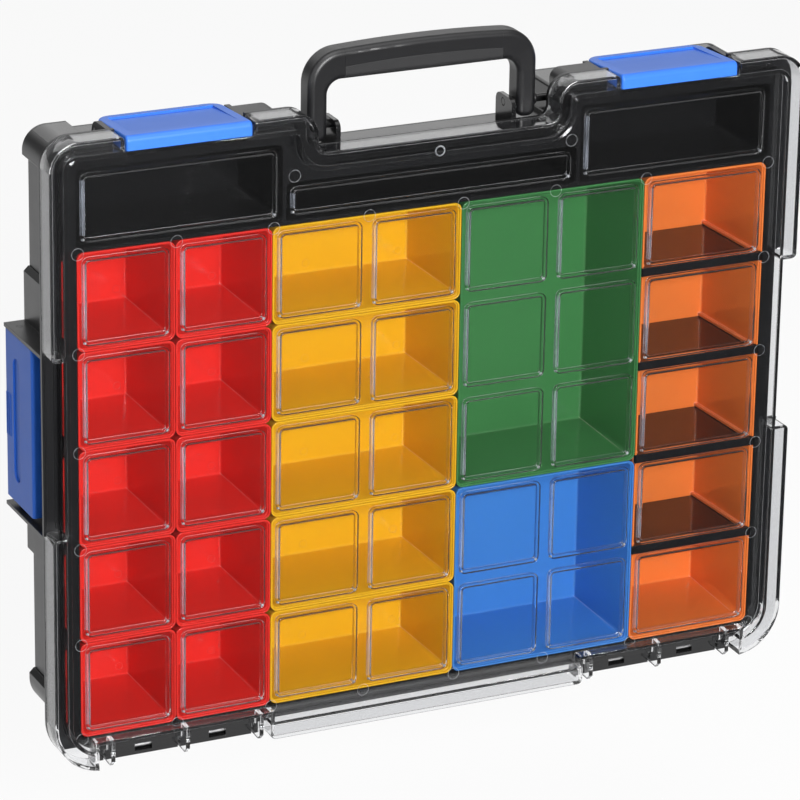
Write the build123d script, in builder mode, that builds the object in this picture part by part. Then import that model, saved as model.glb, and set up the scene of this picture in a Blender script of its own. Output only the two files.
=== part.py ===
from build123d import *
import math
import os

os.makedirs("parts", exist_ok=True)

# The case stands on its hinge side. X runs to the right, +Y to the back, Z up, in millimetres.
# Depths are counted back from the lid's front face.

# Cells and insert boxes.
cell = 55.0
rows = 5
narrow_columns = 6
red_columns = 2
wide_column = 75.2
box_gap = 0.3
box_front = 8.7
box_depth = 60.0
box_wall = 1.6
box_floor = 1.5
box_taper = 3.0
box_corner_radius = 4.0
box_lip = 0.6
box_lip_depth = 1.4
box_floor_radius = 2.0
box_rim_radius = 0.35
grid_width = narrow_columns * cell + wide_column
grid_height = rows * cell

# Tub of the base, with the play that the insert boxes have in it.
tub_inset = 15.0
tub_wall = 2.2
tub_floor = 2.0
tub_top_radius = 6.0
tub_notch_radius = 6.0
tub_side_play = 0.2
tub_end_play = 0.3
tub_floor_play = 0.3
inner_inset = tub_inset + tub_wall

# Compartments above the boxes.
shelf_gap = 0.3
shelf_thickness = 2.0
compartment_height = 43.0
pocket_radius = 3.0

# Overall size of the closed case, from what it holds.
floor_clearance = 0.5
case_width = grid_width + 2 * (inner_inset + tub_side_play)
case_height = grid_height + 2 * inner_inset + tub_end_play + shelf_gap + shelf_thickness + compartment_height
case_depth = box_front + box_depth + tub_floor_play + tub_floor
case_bottom = floor_clearance
case_top = case_bottom + case_height
half_width = case_width / 2
half_depth = case_depth / 2
grid_left = -grid_width / 2
grid_bottom = case_bottom + inner_inset + tub_end_play
grid_top = grid_bottom + grid_height
pocket_back = case_depth - tub_floor

# Corners, and the notch that takes the folded handle.
top_corner_radius = 16.0
bottom_corner_radius = 28.0
least_radius = 2.0
notch_half_width = 70.0
notch_depth = 22.0
notch_floor = case_top - notch_depth
shoulder_radius = 12.0
notch_radius = 6.0

# Rim channel and flange of the base.
rim_inset = 8.3
rim_front = 8.6
rim_thickness = 2.0
rim_wall = 2.0
flange_front = 14.3
flange_thickness = 2.1
flange_back = flange_front + flange_thickness
flange_lift = 9.8

# Lid.
lid_wall = 2.0
lid_gap = 0.3
skirt_back = flange_front - lid_gap
panel_back = rim_front - lid_gap
panel_thickness = 2.0
panel_front = panel_back - panel_thickness
step_inset = 10.5
border_radius = 0.8
loop_width = 2.0
loop_height = 3.0
loop_margin = 3.3
loop_radius = 4.0
loop_tip_radius = 0.9
window_margin = 2.9
cut_end_radius = 3.0
cut_end_wall = 2.0

# Hinge along the lower edge.
hinge_depth = 15.0
hinge_height = case_bottom + 4.5
hinge_length = 100.0
hinge_corner_distance = 75.0
hinge_middle = half_width - hinge_corner_distance
hinge_inner = hinge_middle - hinge_length / 2
hinge_outer = hinge_middle + hinge_length / 2
hinge_end_clearance = 1.5
hinge_bar_inner = hinge_inner + hinge_end_clearance
hinge_bar_outer = hinge_outer - hinge_end_clearance
hinge_pin_radius = 1.4
bar_half_depth = 3.5
bar_front = hinge_depth - bar_half_depth
bar_back = hinge_depth + bar_half_depth
bar_bottom = case_bottom + 0.5
lug_thickness = 2.4
lug_side_gap = 0.35
lug_radius = 3.5
lug_pitch = 43.25
lug_shift = 1.25
lug_middle = hinge_middle - lug_shift
lug_front = 0.6
lug_step = 8.2
lug_chamfer = 3.0
lug_foot = case_bottom + 0.7
lid_hinge_edge = case_bottom + 14.8
lid_hinge_ridge = 2.2
pin_window_width = 10.0
pin_window_low = hinge_height - 2.0
pin_window_high = hinge_height + 2.4
pin_window_back = hinge_depth + 1.6

# Latches on the upper edge, each between a hollow block beside the notch and an ear.
block_setback = 12.0
block_inner = notch_half_width + block_setback
latch_width = 70.0
latch_notch_distance = 37.5
latch_middle = notch_half_width + latch_notch_distance + latch_width / 2
latch_side_gap = 0.9
latch_lift = 0.4
latch_back = 46.5
latch_fall = 3.0
latch_skin = 2.2
latch_side_wall = 2.0
latch_front_wall = 3.0
latch_front_radius = 3.0
latch_edge_radius = 1.2
latch_back_radius = 8.0
latch_axis_depth = 36.5
latch_axis_drop = 7.0
latch_barrel_radius = 4.0
latch_web = 5.0
latch_pin_radius = 1.5
latch_panel_margin = 5.5
latch_panel_drop = 1.2
latch_panel_front = 7.0
latch_panel_back = 41.0
ear_thickness = 3.0
ear_back = latch_axis_depth + latch_barrel_radius
ear_side_gap = 0.7
ear_radius = 7.0
ear_drop = 1.5
block_depth = 20.5
block_back = flange_back + block_depth
block_top_drop = 3.0
block_top = case_top - block_top_drop
block_drop = 29.5
block_low = case_top - block_drop
block_radius = 6.0
block_wall = 2.4
block_solid = 10.4

# Folding handle.
handle_side_gap = 3.4
handle_outer = notch_half_width - handle_side_gap
handle_leg = 11.0
handle_inner = handle_outer - handle_leg
handle_thickness = 14.0
handle_front_gap = 4.4
handle_front = flange_back + handle_front_gap
handle_back = handle_front + handle_thickness
handle_axis_drop = 16.0
handle_foot = 8.0
handle_foot_radius = 4.5
handle_rise = 40.3
handle_bar = 15.0
handle_arch = 2.9
seam_arch = 1.6
handle_outer_radius = 19.0
handle_inner_radius = 8.0
handle_edge_radius = 3.2
handle_pin_radius = 2.2
handle_pin_edge = 0.5
handle_ear_gap = 3.0
handle_ear_thickness = 2.5
handle_ear_inner = handle_inner - handle_ear_gap - handle_ear_thickness
handle_ear_setback = 0.6
handle_ear_front = flange_back + handle_ear_setback
handle_ear_depth = 20.0
handle_ear_back = handle_ear_front + handle_ear_depth
handle_ear_wall = 1.8
handle_ear_radius = 4.5
grip_setback = 1.6
grip_half_length = handle_inner - handle_inner_radius - grip_setback
grip_insert_height = 7.2
core_margin = 3.2

# Side coupler, which hooks the next case on the left, and the cut-back of the lid in front of it.
coupler_middle = case_bottom + 186.0
coupler_length = 95.0
coupler_low = coupler_middle - coupler_length / 2
coupler_high = coupler_middle + coupler_length / 2
coupler_axis_inset = 5.5
coupler_axis_setback = 9.0
coupler_axis_depth = case_depth - coupler_axis_setback
coupler_reach = 31.0
coupler_front = coupler_axis_depth - coupler_reach
coupler_tail = 7.5
coupler_pin_radius = 1.5
coupler_barrel_radius = 4.6
coupler_skin = 2.4
coupler_lip = 6.4
coupler_lip_radius = 1.6
coupler_face_inset = 0.4
coupler_slot_width = 10.0
coupler_slot_length = 70.0
coupler_slot_distance = 8.0
coupler_slot_drop = 1.0
coupler_rib_length = 24.0
coupler_rib_width = 0.8
coupler_rib_pitch = 2.6
coupler_rib_distance = -4.0
plate_thickness = 2.0
plate_gap = 0.5
plate_gap_below = 4.0
side_cut_below = 1.0
side_cut_above = 3.0
side_cut_low = coupler_low - side_cut_below
side_cut_high = coupler_high + side_cut_above
strip_line_width = 0.8
strip_line_height = 0.5
strip_line_margin = 1.6

# Pads at the back corners and beside the couplers, and the feet that the case stands on.
pad_height = 3.4
pad_corner_width = 27.0
pad_corner_height = 18.0
pad_low_height = 22.0
pad_corner_radius = 13.0
pad_side_height = 32.0
pad_bevel = 2.6
pad_root = 0.5
foot_front = 24.0
foot_width = 34.0
foot_wall = 2.4

# Dividers in the wide box.
divider_thickness = 2.0
divider_gap = 0.3
divider_bar_depth = 2.8
divider_bar_height = 5.0
divider_edge_radius = 0.6
divider_rib = 1.7
divider_rib_proud = 1.8
divider_rib_start = 13.0

# Running fit, on the radius, of every pin in its bores.
pin_fit = 0.06
pin_overhang = 2.0

# How far joined shapes run into each other, how far cuts run past a surface, and a measuring tolerance.
overlap = 0.2
past = 1.0
tolerance = 0.01


def at_depth(depth):
    """Plane seen from the front, the given depth behind the lid's front face."""
    return Plane.XZ.offset(half_depth - depth)


def y_of(depth):
    return depth - half_depth


def near(value, targets):
    return min(abs(value - target) for target in targets) < tolerance


def export(shape, label):
    shape.part.label = label
    export_step(shape.part, f"parts/{label}.step")


def case_outline(inset, top_radius, notch):
    """Contour of the case seen from the front, moved inwards by the inset."""
    top = case_top - inset
    floor = notch_floor - inset
    with BuildSketch() as outline:
        with Locations((0, (case_bottom + case_top) / 2)):
            Rectangle(case_width - 2 * inset, case_height - 2 * inset)
        with Locations((0, top)):
            Rectangle(2 * (notch_half_width + inset), 2 * notch_depth, mode=Mode.SUBTRACT)
        fillet(outline.vertices().group_by(Axis.Y)[0], max(bottom_corner_radius - inset, least_radius))
        shoulders = outline.vertices().group_by(Axis.Y)[-1].sort_by(Axis.X)[1:3]
        fillet(shoulders, max(shoulder_radius - inset, least_radius))
        top_corners = outline.vertices().group_by(Axis.Y)[-1].sort_by(Axis.X)
        fillet([top_corners[0], top_corners[-1]], max(top_radius, least_radius))
        fillet([v for v in outline.vertices() if near(v.Y, [floor])], notch)
    return outline.sketch


def rectangle_at(x_low, x_high, z_low, z_high, radius=0.0, mode=Mode.ADD):
    """Rectangle in a sketch, given by its limits."""
    with Locations(((x_low + x_high) / 2, (z_low + z_high) / 2)):
        if radius > 0:
            RectangleRounded(x_high - x_low, z_high - z_low, radius, mode=mode)
        else:
            Rectangle(x_high - x_low, z_high - z_low, mode=mode)


def box_at(x_low, x_high, depth_low, depth_high, z_low, z_high, mode=Mode.ADD):
    """Block in a part, given by its limits, with its depths counted from the lid's front face."""
    with Locations(((x_low + x_high) / 2, y_of((depth_low + depth_high) / 2), (z_low + z_high) / 2)):
        Box(x_high - x_low, depth_high - depth_low, z_high - z_low, mode=mode)


def rod_at(x_low, x_high, depth, height, radius, mode=Mode.ADD):
    """Round rod along X in a part."""
    with BuildSketch(Plane.YZ.offset(x_low)) as end:
        with Locations((y_of(depth), height)):
            Circle(radius)
    extrude(end.sketch, amount=x_high - x_low, mode=mode)


outer_outline = case_outline(0, top_corner_radius, notch_radius)
wall_outline = case_outline(lid_wall, top_corner_radius - lid_wall, notch_radius + lid_wall)
rim_outline = case_outline(rim_inset, top_corner_radius - rim_inset, notch_radius + rim_inset)
rim_inner_outline = case_outline(rim_inset + rim_wall, top_corner_radius - rim_inset - rim_wall,
                                 notch_radius + rim_inset)
step_outline = case_outline(step_inset, top_corner_radius - step_inset, notch_radius + rim_inset)
tub_outline = case_outline(tub_inset, tub_top_radius, tub_notch_radius)

latch_zone_half = latch_width / 2 + latch_side_gap

# Zones outside the rim that the lid leaves free: both sides at mid height and both latches.
with BuildSketch() as lid_zones:
    for side in (-1, 1):
        x_near, x_far = sorted((side * (half_width - rim_inset - past), side * (half_width + past)))
        rectangle_at(x_near, x_far, side_cut_low, side_cut_high)
        middle = side * latch_middle
        rectangle_at(middle - latch_zone_half, middle + latch_zone_half, case_top - rim_inset - past,
                     case_top + past)
    add(rim_outline, mode=Mode.SUBTRACT)

# The lid stops short along both stretches of the hinge.
with BuildSketch() as hinge_zones:
    for side in (-1, 1):
        x_near, x_far = sorted((side * hinge_inner, side * hinge_outer))
        rectangle_at(x_near, x_far, case_bottom - past, lid_hinge_edge)

with BuildSketch() as lid_face:
    add(outer_outline)
    add(lid_zones.sketch, mode=Mode.SUBTRACT)
    add(hinge_zones.sketch, mode=Mode.SUBTRACT)
    latch_zone_ends = [latch_middle - latch_zone_half, latch_middle + latch_zone_half]
    ends = [v for v in lid_face.vertices()
            if near(abs(v.X), [half_width]) and near(v.Y, [side_cut_low, side_cut_high])
            or near(v.Y, [case_top]) and near(abs(v.X), latch_zone_ends)
            or near(v.Y, [case_bottom]) and near(abs(v.X), [hinge_inner, hinge_outer])]
    fillet(ends, cut_end_radius)

# The border's hollow stops before each end of the border, which closes it.
with BuildSketch() as lid_channel:
    add(wall_outline)
    add(rim_outline, mode=Mode.SUBTRACT)
    for side in (-1, 1):
        x_near, x_far = sorted((side * (half_width - step_inset), side * (half_width + past)))
        rectangle_at(x_near, x_far, side_cut_low - cut_end_wall, side_cut_high + cut_end_wall,
                     mode=Mode.SUBTRACT)
        middle = side * latch_middle
        reach = latch_zone_half + cut_end_wall
        rectangle_at(middle - reach, middle + reach, case_top - step_inset, case_top + past,
                     mode=Mode.SUBTRACT)
        x_near, x_far = sorted((side * (hinge_inner - cut_end_wall), side * (hinge_outer + cut_end_wall)))
        rectangle_at(x_near, x_far, case_bottom - past, lid_hinge_edge, mode=Mode.SUBTRACT)

with BuildSketch() as lid_recess:
    add(step_outline)
    for side in (-1, 1):
        x_near, x_far = sorted((side * (hinge_inner - lid_hinge_ridge),
                                side * (hinge_outer + lid_hinge_ridge)))
        rectangle_at(x_near, x_far, case_bottom, lid_hinge_edge + lid_hinge_ridge, mode=Mode.SUBTRACT)

# Every cell's left, right, lower and upper limit, column by column.
column_limits = [(grid_left + i * cell, grid_left + (i + 1) * cell) for i in range(narrow_columns)]
column_limits.append((grid_left + narrow_columns * cell, grid_left + grid_width))
row_limits = [(grid_top - (j + 1) * cell, grid_top - j * cell) for j in range(rows)]

shelf_low = grid_top + shelf_gap
shelf_high = shelf_low + shelf_thickness
side_pocket_left = -(half_width - inner_inset)
side_pocket_right = -(notch_half_width + inner_inset)
side_pocket_top = case_top - inner_inset
middle_pocket_half = notch_half_width + tub_inset
middle_pocket_top = notch_floor - inner_inset

# Loops of the lid that reach into the boxes and the compartments, with rounded tips.
with BuildPart() as loops:
    with BuildSketch(at_depth(panel_back + loop_height)):
        windows = [(side_pocket_left, side_pocket_right, shelf_high, side_pocket_top),
                   (-side_pocket_right, -side_pocket_left, shelf_high, side_pocket_top),
                   (-middle_pocket_half, middle_pocket_half, shelf_high, middle_pocket_top)]
        for x_low, x_high, z_low, z_high in windows:
            rectangle_at(x_low + window_margin, x_high - window_margin, z_low + window_margin,
                         z_high - window_margin, loop_radius)
        for x_low, x_high in column_limits:
            for z_low, z_high in row_limits:
                rectangle_at(x_low + loop_margin, x_high - loop_margin, z_low + loop_margin,
                             z_high - loop_margin, loop_radius)
        inner = loop_radius - loop_width
        for x_low, x_high, z_low, z_high in windows:
            reach = window_margin + loop_width
            rectangle_at(x_low + reach, x_high - reach, z_low + reach, z_high - reach, inner, Mode.SUBTRACT)
        for x_low, x_high in column_limits:
            for z_low, z_high in row_limits:
                reach = loop_margin + loop_width
                rectangle_at(x_low + reach, x_high - reach, z_low + reach, z_high - reach, inner,
                             Mode.SUBTRACT)
    extrude(amount=loop_height + overlap)
    fillet(loops.edges().group_by(Axis.Y)[-1], loop_tip_radius)

with BuildPart() as lid:
    with BuildSketch(at_depth(0)):
        add(lid_face.sketch)
    extrude(amount=-skirt_back)
    with BuildSketch(at_depth(0)):
        add(lid_recess.sketch)
    extrude(amount=-panel_front, mode=Mode.SUBTRACT)
    with BuildSketch(at_depth(skirt_back)):
        add(rim_outline)
    extrude(amount=skirt_back - panel_back, mode=Mode.SUBTRACT)
    with BuildSketch(at_depth(skirt_back)):
        add(lid_channel.sketch)
    extrude(amount=skirt_back - lid_wall, mode=Mode.SUBTRACT)
    fillet(lid.edges().group_by(Axis.Y)[0], border_radius)
    add(loops.part)
    # Hinge lugs: a plate under the panel's edge with a rounded eye round the pin.
    for side in (-1, 1):
        for step in (-1, 0, 1):
            middle = side * (lug_middle + step * lug_pitch)
            with BuildSketch(Plane.YZ.offset(middle - lug_thickness / 2)):
                with BuildLine():
                    Polyline((y_of(lug_front), lid_hinge_edge + overlap),
                             (y_of(lug_front), lug_foot + lug_chamfer),
                             (y_of(lug_front + lug_chamfer), lug_foot),
                             (y_of(hinge_depth), hinge_height - lug_radius),
                             (y_of(hinge_depth), hinge_height + lug_radius),
                             (y_of(lug_step), hinge_height + lug_radius),
                             (y_of(lug_step), lid_hinge_edge + overlap), close=True)
                make_face()
                with Locations((y_of(hinge_depth), hinge_height)):
                    Circle(lug_radius)
                    Circle(hinge_pin_radius + pin_fit, mode=Mode.SUBTRACT)
            extrude(amount=lug_thickness)

export(lid, "lid")

# Flange face of the base, cut where the latches reach in, at the hinge, and on the right for the
# coupler of the next case.
with BuildSketch() as flange_face:
    add(outer_outline)
    latch_cut = latch_zone_half + latch_lift
    for side in (-1, 1):
        middle = side * latch_middle
        rectangle_at(middle - latch_cut, middle + latch_cut, case_top - rim_inset, case_top + past,
                     mode=Mode.SUBTRACT)
    rectangle_at(half_width - rim_inset, half_width + past, side_cut_low, side_cut_high, mode=Mode.SUBTRACT)
    rectangle_at(-half_width - past, half_width + past, case_bottom - past, case_bottom + flange_lift,
                 mode=Mode.SUBTRACT)
    add(rim_inner_outline, mode=Mode.SUBTRACT)

with BuildSketch() as pockets:
    rectangle_at(-(half_width - inner_inset), half_width - inner_inset, case_bottom + inner_inset,
                 grid_top + shelf_gap, pocket_radius)
    for x_low, x_high in ((side_pocket_left, side_pocket_right), (-side_pocket_right, -side_pocket_left)):
        rectangle_at(x_low, x_high, shelf_high, side_pocket_top, pocket_radius)
    rectangle_at(-middle_pocket_half, middle_pocket_half, shelf_high, middle_pocket_top, pocket_radius)

plate_high = coupler_high + plate_gap
plate_low = coupler_low - plate_gap_below
latch_axis_height = case_top - latch_axis_drop
handle_axis_height = case_top - handle_axis_drop
handle_axis_depth = handle_front + handle_thickness / 2
tray_front = rim_front + rim_thickness
tub_low = case_bottom + tub_inset
tub_top = case_top - tub_inset
tub_side = half_width - tub_inset
ear_top = case_top - ear_drop
ear_near = latch_middle + latch_width / 2 + ear_side_gap
ear_far = ear_near + ear_thickness
block_outer = latch_middle - latch_width / 2 - ear_side_gap
coupler_axis_x = -half_width + coupler_axis_inset

# Pads that follow the tub's outline at its corners and beside the couplers.
pad_outer = tub_side + pad_height
pad_low = tub_low - pad_height
pad_high = tub_top + pad_height
pad_corner_ends = [pad_low + pad_low_height, pad_high - pad_corner_height]
pad_side_ends = [plate_low - pad_side_height, plate_high + pad_side_height]


def pad_faces(side, z_low, z_high, root):
    """Pads on one side between two heights, sunk into the tub by the root."""
    with BuildSketch() as faces:
        x_near, x_far = sorted((side * (pad_outer - pad_corner_width), side * (pad_outer + past)))
        rectangle_at(x_near, x_far, pad_corner_ends[1], pad_high + past)
        rectangle_at(x_near, x_far, pad_low - past, pad_corner_ends[0])
        x_near, x_far = sorted((side * (pad_outer - 2 * pad_height), side * (pad_outer + past)))
        rectangle_at(x_near, x_far, plate_high + plate_thickness, pad_side_ends[1])
        rectangle_at(x_near, x_far, pad_side_ends[0], plate_low - plate_thickness)
        add(case_outline(tub_inset - pad_height, pad_corner_radius, tub_notch_radius), mode=Mode.INTERSECT)
        add(case_outline(tub_inset + root, tub_top_radius - root, tub_notch_radius), mode=Mode.SUBTRACT)
        ends = [v for v in faces.vertices()
                if near(abs(v.X), [pad_outer]) and near(v.Y, pad_corner_ends + pad_side_ends)
                or near(v.Y, [pad_low, pad_high]) and near(abs(v.X), [pad_outer - pad_corner_width])]
        chamfer(ends, pad_bevel)
        rectangle_at(-half_width, half_width, z_low, z_high, mode=Mode.INTERSECT)
    return faces.sketch


# Rim of the base: a front frame round all pockets, the rim wall, the flange and two raised lines on
# its strip in front of the coupler.
with BuildPart() as base_rim:
    with BuildSketch(at_depth(rim_front)):
        add(rim_outline)
    extrude(amount=-(flange_back - rim_front))
    with BuildSketch(at_depth(flange_back)):
        add(rim_inner_outline)
    extrude(amount=flange_back - tray_front, mode=Mode.SUBTRACT)
    with BuildSketch(at_depth(flange_front)):
        add(flange_face.sketch)
    extrude(amount=-flange_thickness)
    with BuildSketch(at_depth(rim_front)):
        add(pockets.sketch)
    extrude(amount=-(rim_thickness + past), mode=Mode.SUBTRACT)
    for inset in (strip_line_margin, rim_inset - strip_line_margin):
        x_low = -half_width + inset - strip_line_width / 2
        box_at(x_low, x_low + strip_line_width, flange_front - strip_line_height, flange_front + overlap,
               side_cut_low + strip_line_margin, side_cut_high - strip_line_margin)
export(base_rim, "base_rim")

# Tub below the shelf, which holds the insert boxes.
with BuildPart() as base_tub:
    with BuildSketch(at_depth(tray_front)):
        add(tub_outline)
        rectangle_at(-half_width, half_width, 0, shelf_low, mode=Mode.INTERSECT)
    extrude(amount=-(case_depth - tray_front))
    with BuildSketch(at_depth(tray_front)):
        rectangle_at(-(half_width - inner_inset), half_width - inner_inset, case_bottom + inner_inset,
                     shelf_low + 2 * pocket_radius, pocket_radius)
    extrude(amount=-(pocket_back - tray_front), mode=Mode.SUBTRACT)
    with BuildSketch(at_depth(flange_back)):
        add(pad_faces(1, plate_low - pad_side_height - past, plate_high + pad_side_height + past, pad_root))
    extrude(amount=-(case_depth - flange_back))
export(base_tub, "base_tub")

# Compartments above the shelf, on the left, in the middle and on the right.
for side, name in ((-1, "left"), (1, "right")):
    with BuildPart() as tray:
        x_near, x_far = sorted((side * middle_pocket_half, side * half_width))
        with BuildSketch(at_depth(tray_front)):
            add(tub_outline)
            rectangle_at(x_near, x_far, shelf_low, case_top, mode=Mode.INTERSECT)
        extrude(amount=-(case_depth - tray_front))
        x_near, x_far = sorted((-side * side_pocket_right, -side * side_pocket_left))
        with BuildSketch(at_depth(tray_front)):
            rectangle_at(x_near, x_far, shelf_high, side_pocket_top, pocket_radius)
        extrude(amount=-(pocket_back - tray_front), mode=Mode.SUBTRACT)
        with BuildSketch(at_depth(flange_back)):
            add(pad_faces(side, shelf_high, case_top, pad_root))
        extrude(amount=-(case_depth - flange_back))
    export(tray, f"{name}_tray")

with BuildPart() as middle_tray:
    with BuildSketch(at_depth(tray_front)):
        add(tub_outline)
        rectangle_at(-middle_pocket_half, middle_pocket_half, shelf_low, case_top, mode=Mode.INTERSECT)
    extrude(amount=-(case_depth - tray_front))
    box_at(-middle_pocket_half - past, middle_pocket_half + past, tray_front - past, pocket_back, shelf_high,
           middle_pocket_top, mode=Mode.SUBTRACT)
export(middle_tray, "middle_tray")

for side, name in ((-1, "left"), (1, "right")):
    with BuildPart() as low_pad:
        with BuildSketch(at_depth(bar_back)):
            add(pad_faces(side, 0, pad_corner_ends[0] + past, 0))
        extrude(amount=-(case_depth - bar_back))
    export(low_pad, f"{name}_low_pad")

# Hinge bars with slots for the lid's lugs, windows over the pins and a bore for each pin.
for side, name in ((-1, "left"), (1, "right")):
    with BuildPart() as hinge_bar:
        x_near, x_far = sorted((side * hinge_bar_inner, side * hinge_bar_outer))
        box_at(x_near, x_far, bar_front, bar_back, bar_bottom, case_bottom + rim_inset)
        box_at(x_near, x_far, flange_back, bar_back, case_bottom + rim_inset, tub_low)
        slot_half = lug_thickness / 2 + lug_side_gap
        for step in (-1, 0, 1):
            middle = side * (lug_middle + step * lug_pitch)
            box_at(middle - slot_half, middle + slot_half, bar_front - past, bar_back + past,
                   bar_bottom - past, case_bottom + rim_inset, mode=Mode.SUBTRACT)
        for step in (-0.5, 0.5):
            middle = side * (lug_middle + step * lug_pitch)
            box_at(middle - pin_window_width / 2, middle + pin_window_width / 2, bar_front - past,
                   pin_window_back, pin_window_low, pin_window_high, mode=Mode.SUBTRACT)
        rod_at(x_near - past, x_far + past, hinge_depth, hinge_height, hinge_pin_radius + pin_fit,
               Mode.SUBTRACT)
    export(hinge_bar, f"{name}_hinge_bar")

# An ear outside each latch, and a hollow block between each latch and the notch, with its wall beside
# the latch drawn out to the ear's depth.
for side, name in ((-1, "left"), (1, "right")):
    with BuildPart() as latch_ear:
        with BuildSketch(Plane.YZ.offset(side * (ear_near + ear_far) / 2)) as ear_face:
            rectangle_at(y_of(flange_back), y_of(ear_back), tub_top, ear_top)
            fillet(ear_face.vertices().sort_by(Axis.X)[-2:].sort_by(Axis.Y)[-1:], ear_radius)
        extrude(amount=ear_thickness / 2, both=True)
        rod_at(side * latch_middle - latch_width, side * latch_middle + latch_width, latch_axis_depth,
               latch_axis_height, latch_pin_radius + pin_fit, Mode.SUBTRACT)
    export(latch_ear, f"{name}_latch_ear")
    with BuildPart() as latch_block:
        x_near, x_far = sorted((side * block_inner, side * block_outer))
        with BuildSketch(at_depth(flange_back)) as block_face:
            rectangle_at(x_near, x_far, block_low, block_top)
            nearest = block_face.vertices().group_by(Axis.Y)[-1].sort_by(lambda v: abs(v.X))[0]
            fillet(nearest, block_radius)
            add(tub_outline, mode=Mode.SUBTRACT)
        extrude(amount=-block_depth)
        x_near, x_far = sorted((side * (block_outer - ear_thickness), side * block_outer))
        box_at(x_near, x_far, block_back, ear_back, tub_top, block_top)
        x_near, x_far = sorted((side * (block_inner + block_solid), side * (block_outer - ear_thickness)))
        box_at(x_near, x_far, flange_back + block_wall, block_back + past, tub_top + block_wall,
               block_top - block_wall, mode=Mode.SUBTRACT)
        rod_at(side * latch_middle - latch_width / 2 - latch_side_wall - ear_thickness,
               side * latch_middle + latch_width / 2 + latch_side_wall + ear_thickness, latch_axis_depth,
               latch_axis_height, latch_pin_radius + pin_fit, Mode.SUBTRACT)
        x_near, x_far = sorted((side * handle_inner, side * (block_inner + pin_overhang + past)))
        rod_at(x_near, x_far, handle_axis_depth, handle_axis_height, handle_pin_radius + pin_fit,
               Mode.SUBTRACT)
    export(latch_block, f"{name}_latch_block")

# Inner ears of the handle.
for side, name in ((-1, "left"), (1, "right")):
    with BuildPart() as handle_ear:
        ear_middle = side * (handle_ear_inner + handle_ear_thickness / 2)
        with BuildSketch(Plane.YZ.offset(ear_middle)) as handle_ear_face:
            rectangle_at(y_of(flange_back), y_of(handle_ear_back), notch_floor - tub_inset, notch_floor)
            rectangle_at(y_of(handle_ear_front), y_of(handle_ear_back), notch_floor,
                         handle_axis_height + handle_pin_radius + handle_ear_wall)
            fillet(handle_ear_face.vertices().group_by(Axis.Y)[-1], handle_ear_radius)
        extrude(amount=handle_ear_thickness / 2, both=True)
        rod_at(ear_middle - handle_ear_thickness, ear_middle + handle_ear_thickness, handle_axis_depth,
               handle_axis_height, handle_pin_radius + pin_fit, Mode.SUBTRACT)
    export(handle_ear, f"{name}_handle_ear")

# Plates above and below the side coupler, each with the pad beyond it.
plate_limits = (("upper", plate_high, plate_high + plate_thickness, pad_side_ends[1] + past),
                ("lower", plate_low - plate_thickness, pad_side_ends[0] - past, plate_low - plate_thickness))
for name, z_low, pad_start, pad_end in plate_limits:
    with BuildPart() as plate:
        box_at(-half_width, -tub_side, flange_back, case_depth, z_low, z_low + plate_thickness)
        with BuildSketch(at_depth(flange_back)):
            add(pad_faces(-1, pad_start, pad_end, 0))
        extrude(amount=-(case_depth - flange_back))
        with Locations((coupler_axis_x, y_of(coupler_axis_depth), z_low)):
            Cylinder(coupler_pin_radius + pin_fit, 4 * plate_thickness, mode=Mode.SUBTRACT)
    export(plate, f"{name}_coupler_plate")

# Feet below the tub, behind the sweep of the lid's lower edge.
for side, name in ((-1, "left"), (1, "right")):
    with BuildPart() as foot:
        x_low = side * hinge_middle - foot_width / 2
        x_high = x_low + foot_width
        box_at(x_low, x_high, foot_front, case_depth, 0, tub_low)
        box_at(x_low + foot_wall, x_high - foot_wall, foot_front + foot_wall, case_depth + past, foot_wall,
               tub_low - foot_wall, mode=Mode.SUBTRACT)
    export(foot, f"{name}_foot")

# Steel pins of the lid's hinge.
for side, name in ((-1, "left"), (1, "right")):
    with BuildPart() as hinge_pin:
        x_near, x_far = sorted((side * hinge_bar_inner, side * hinge_bar_outer))
        rod_at(x_near, x_far, hinge_depth, hinge_height, hinge_pin_radius)
    export(hinge_pin, f"{name}_hinge_pin")

# Latches: a skin that falls towards the back, with a front wall, side walls and a tail behind the pivot.
latch_bottom = case_top - rim_inset + latch_lift
web_depth = latch_axis_depth - latch_web
plan_low = latch_axis_height - latch_barrel_radius - past


def latch_top_at(depth):
    return case_top - latch_fall * depth / latch_back


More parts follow.
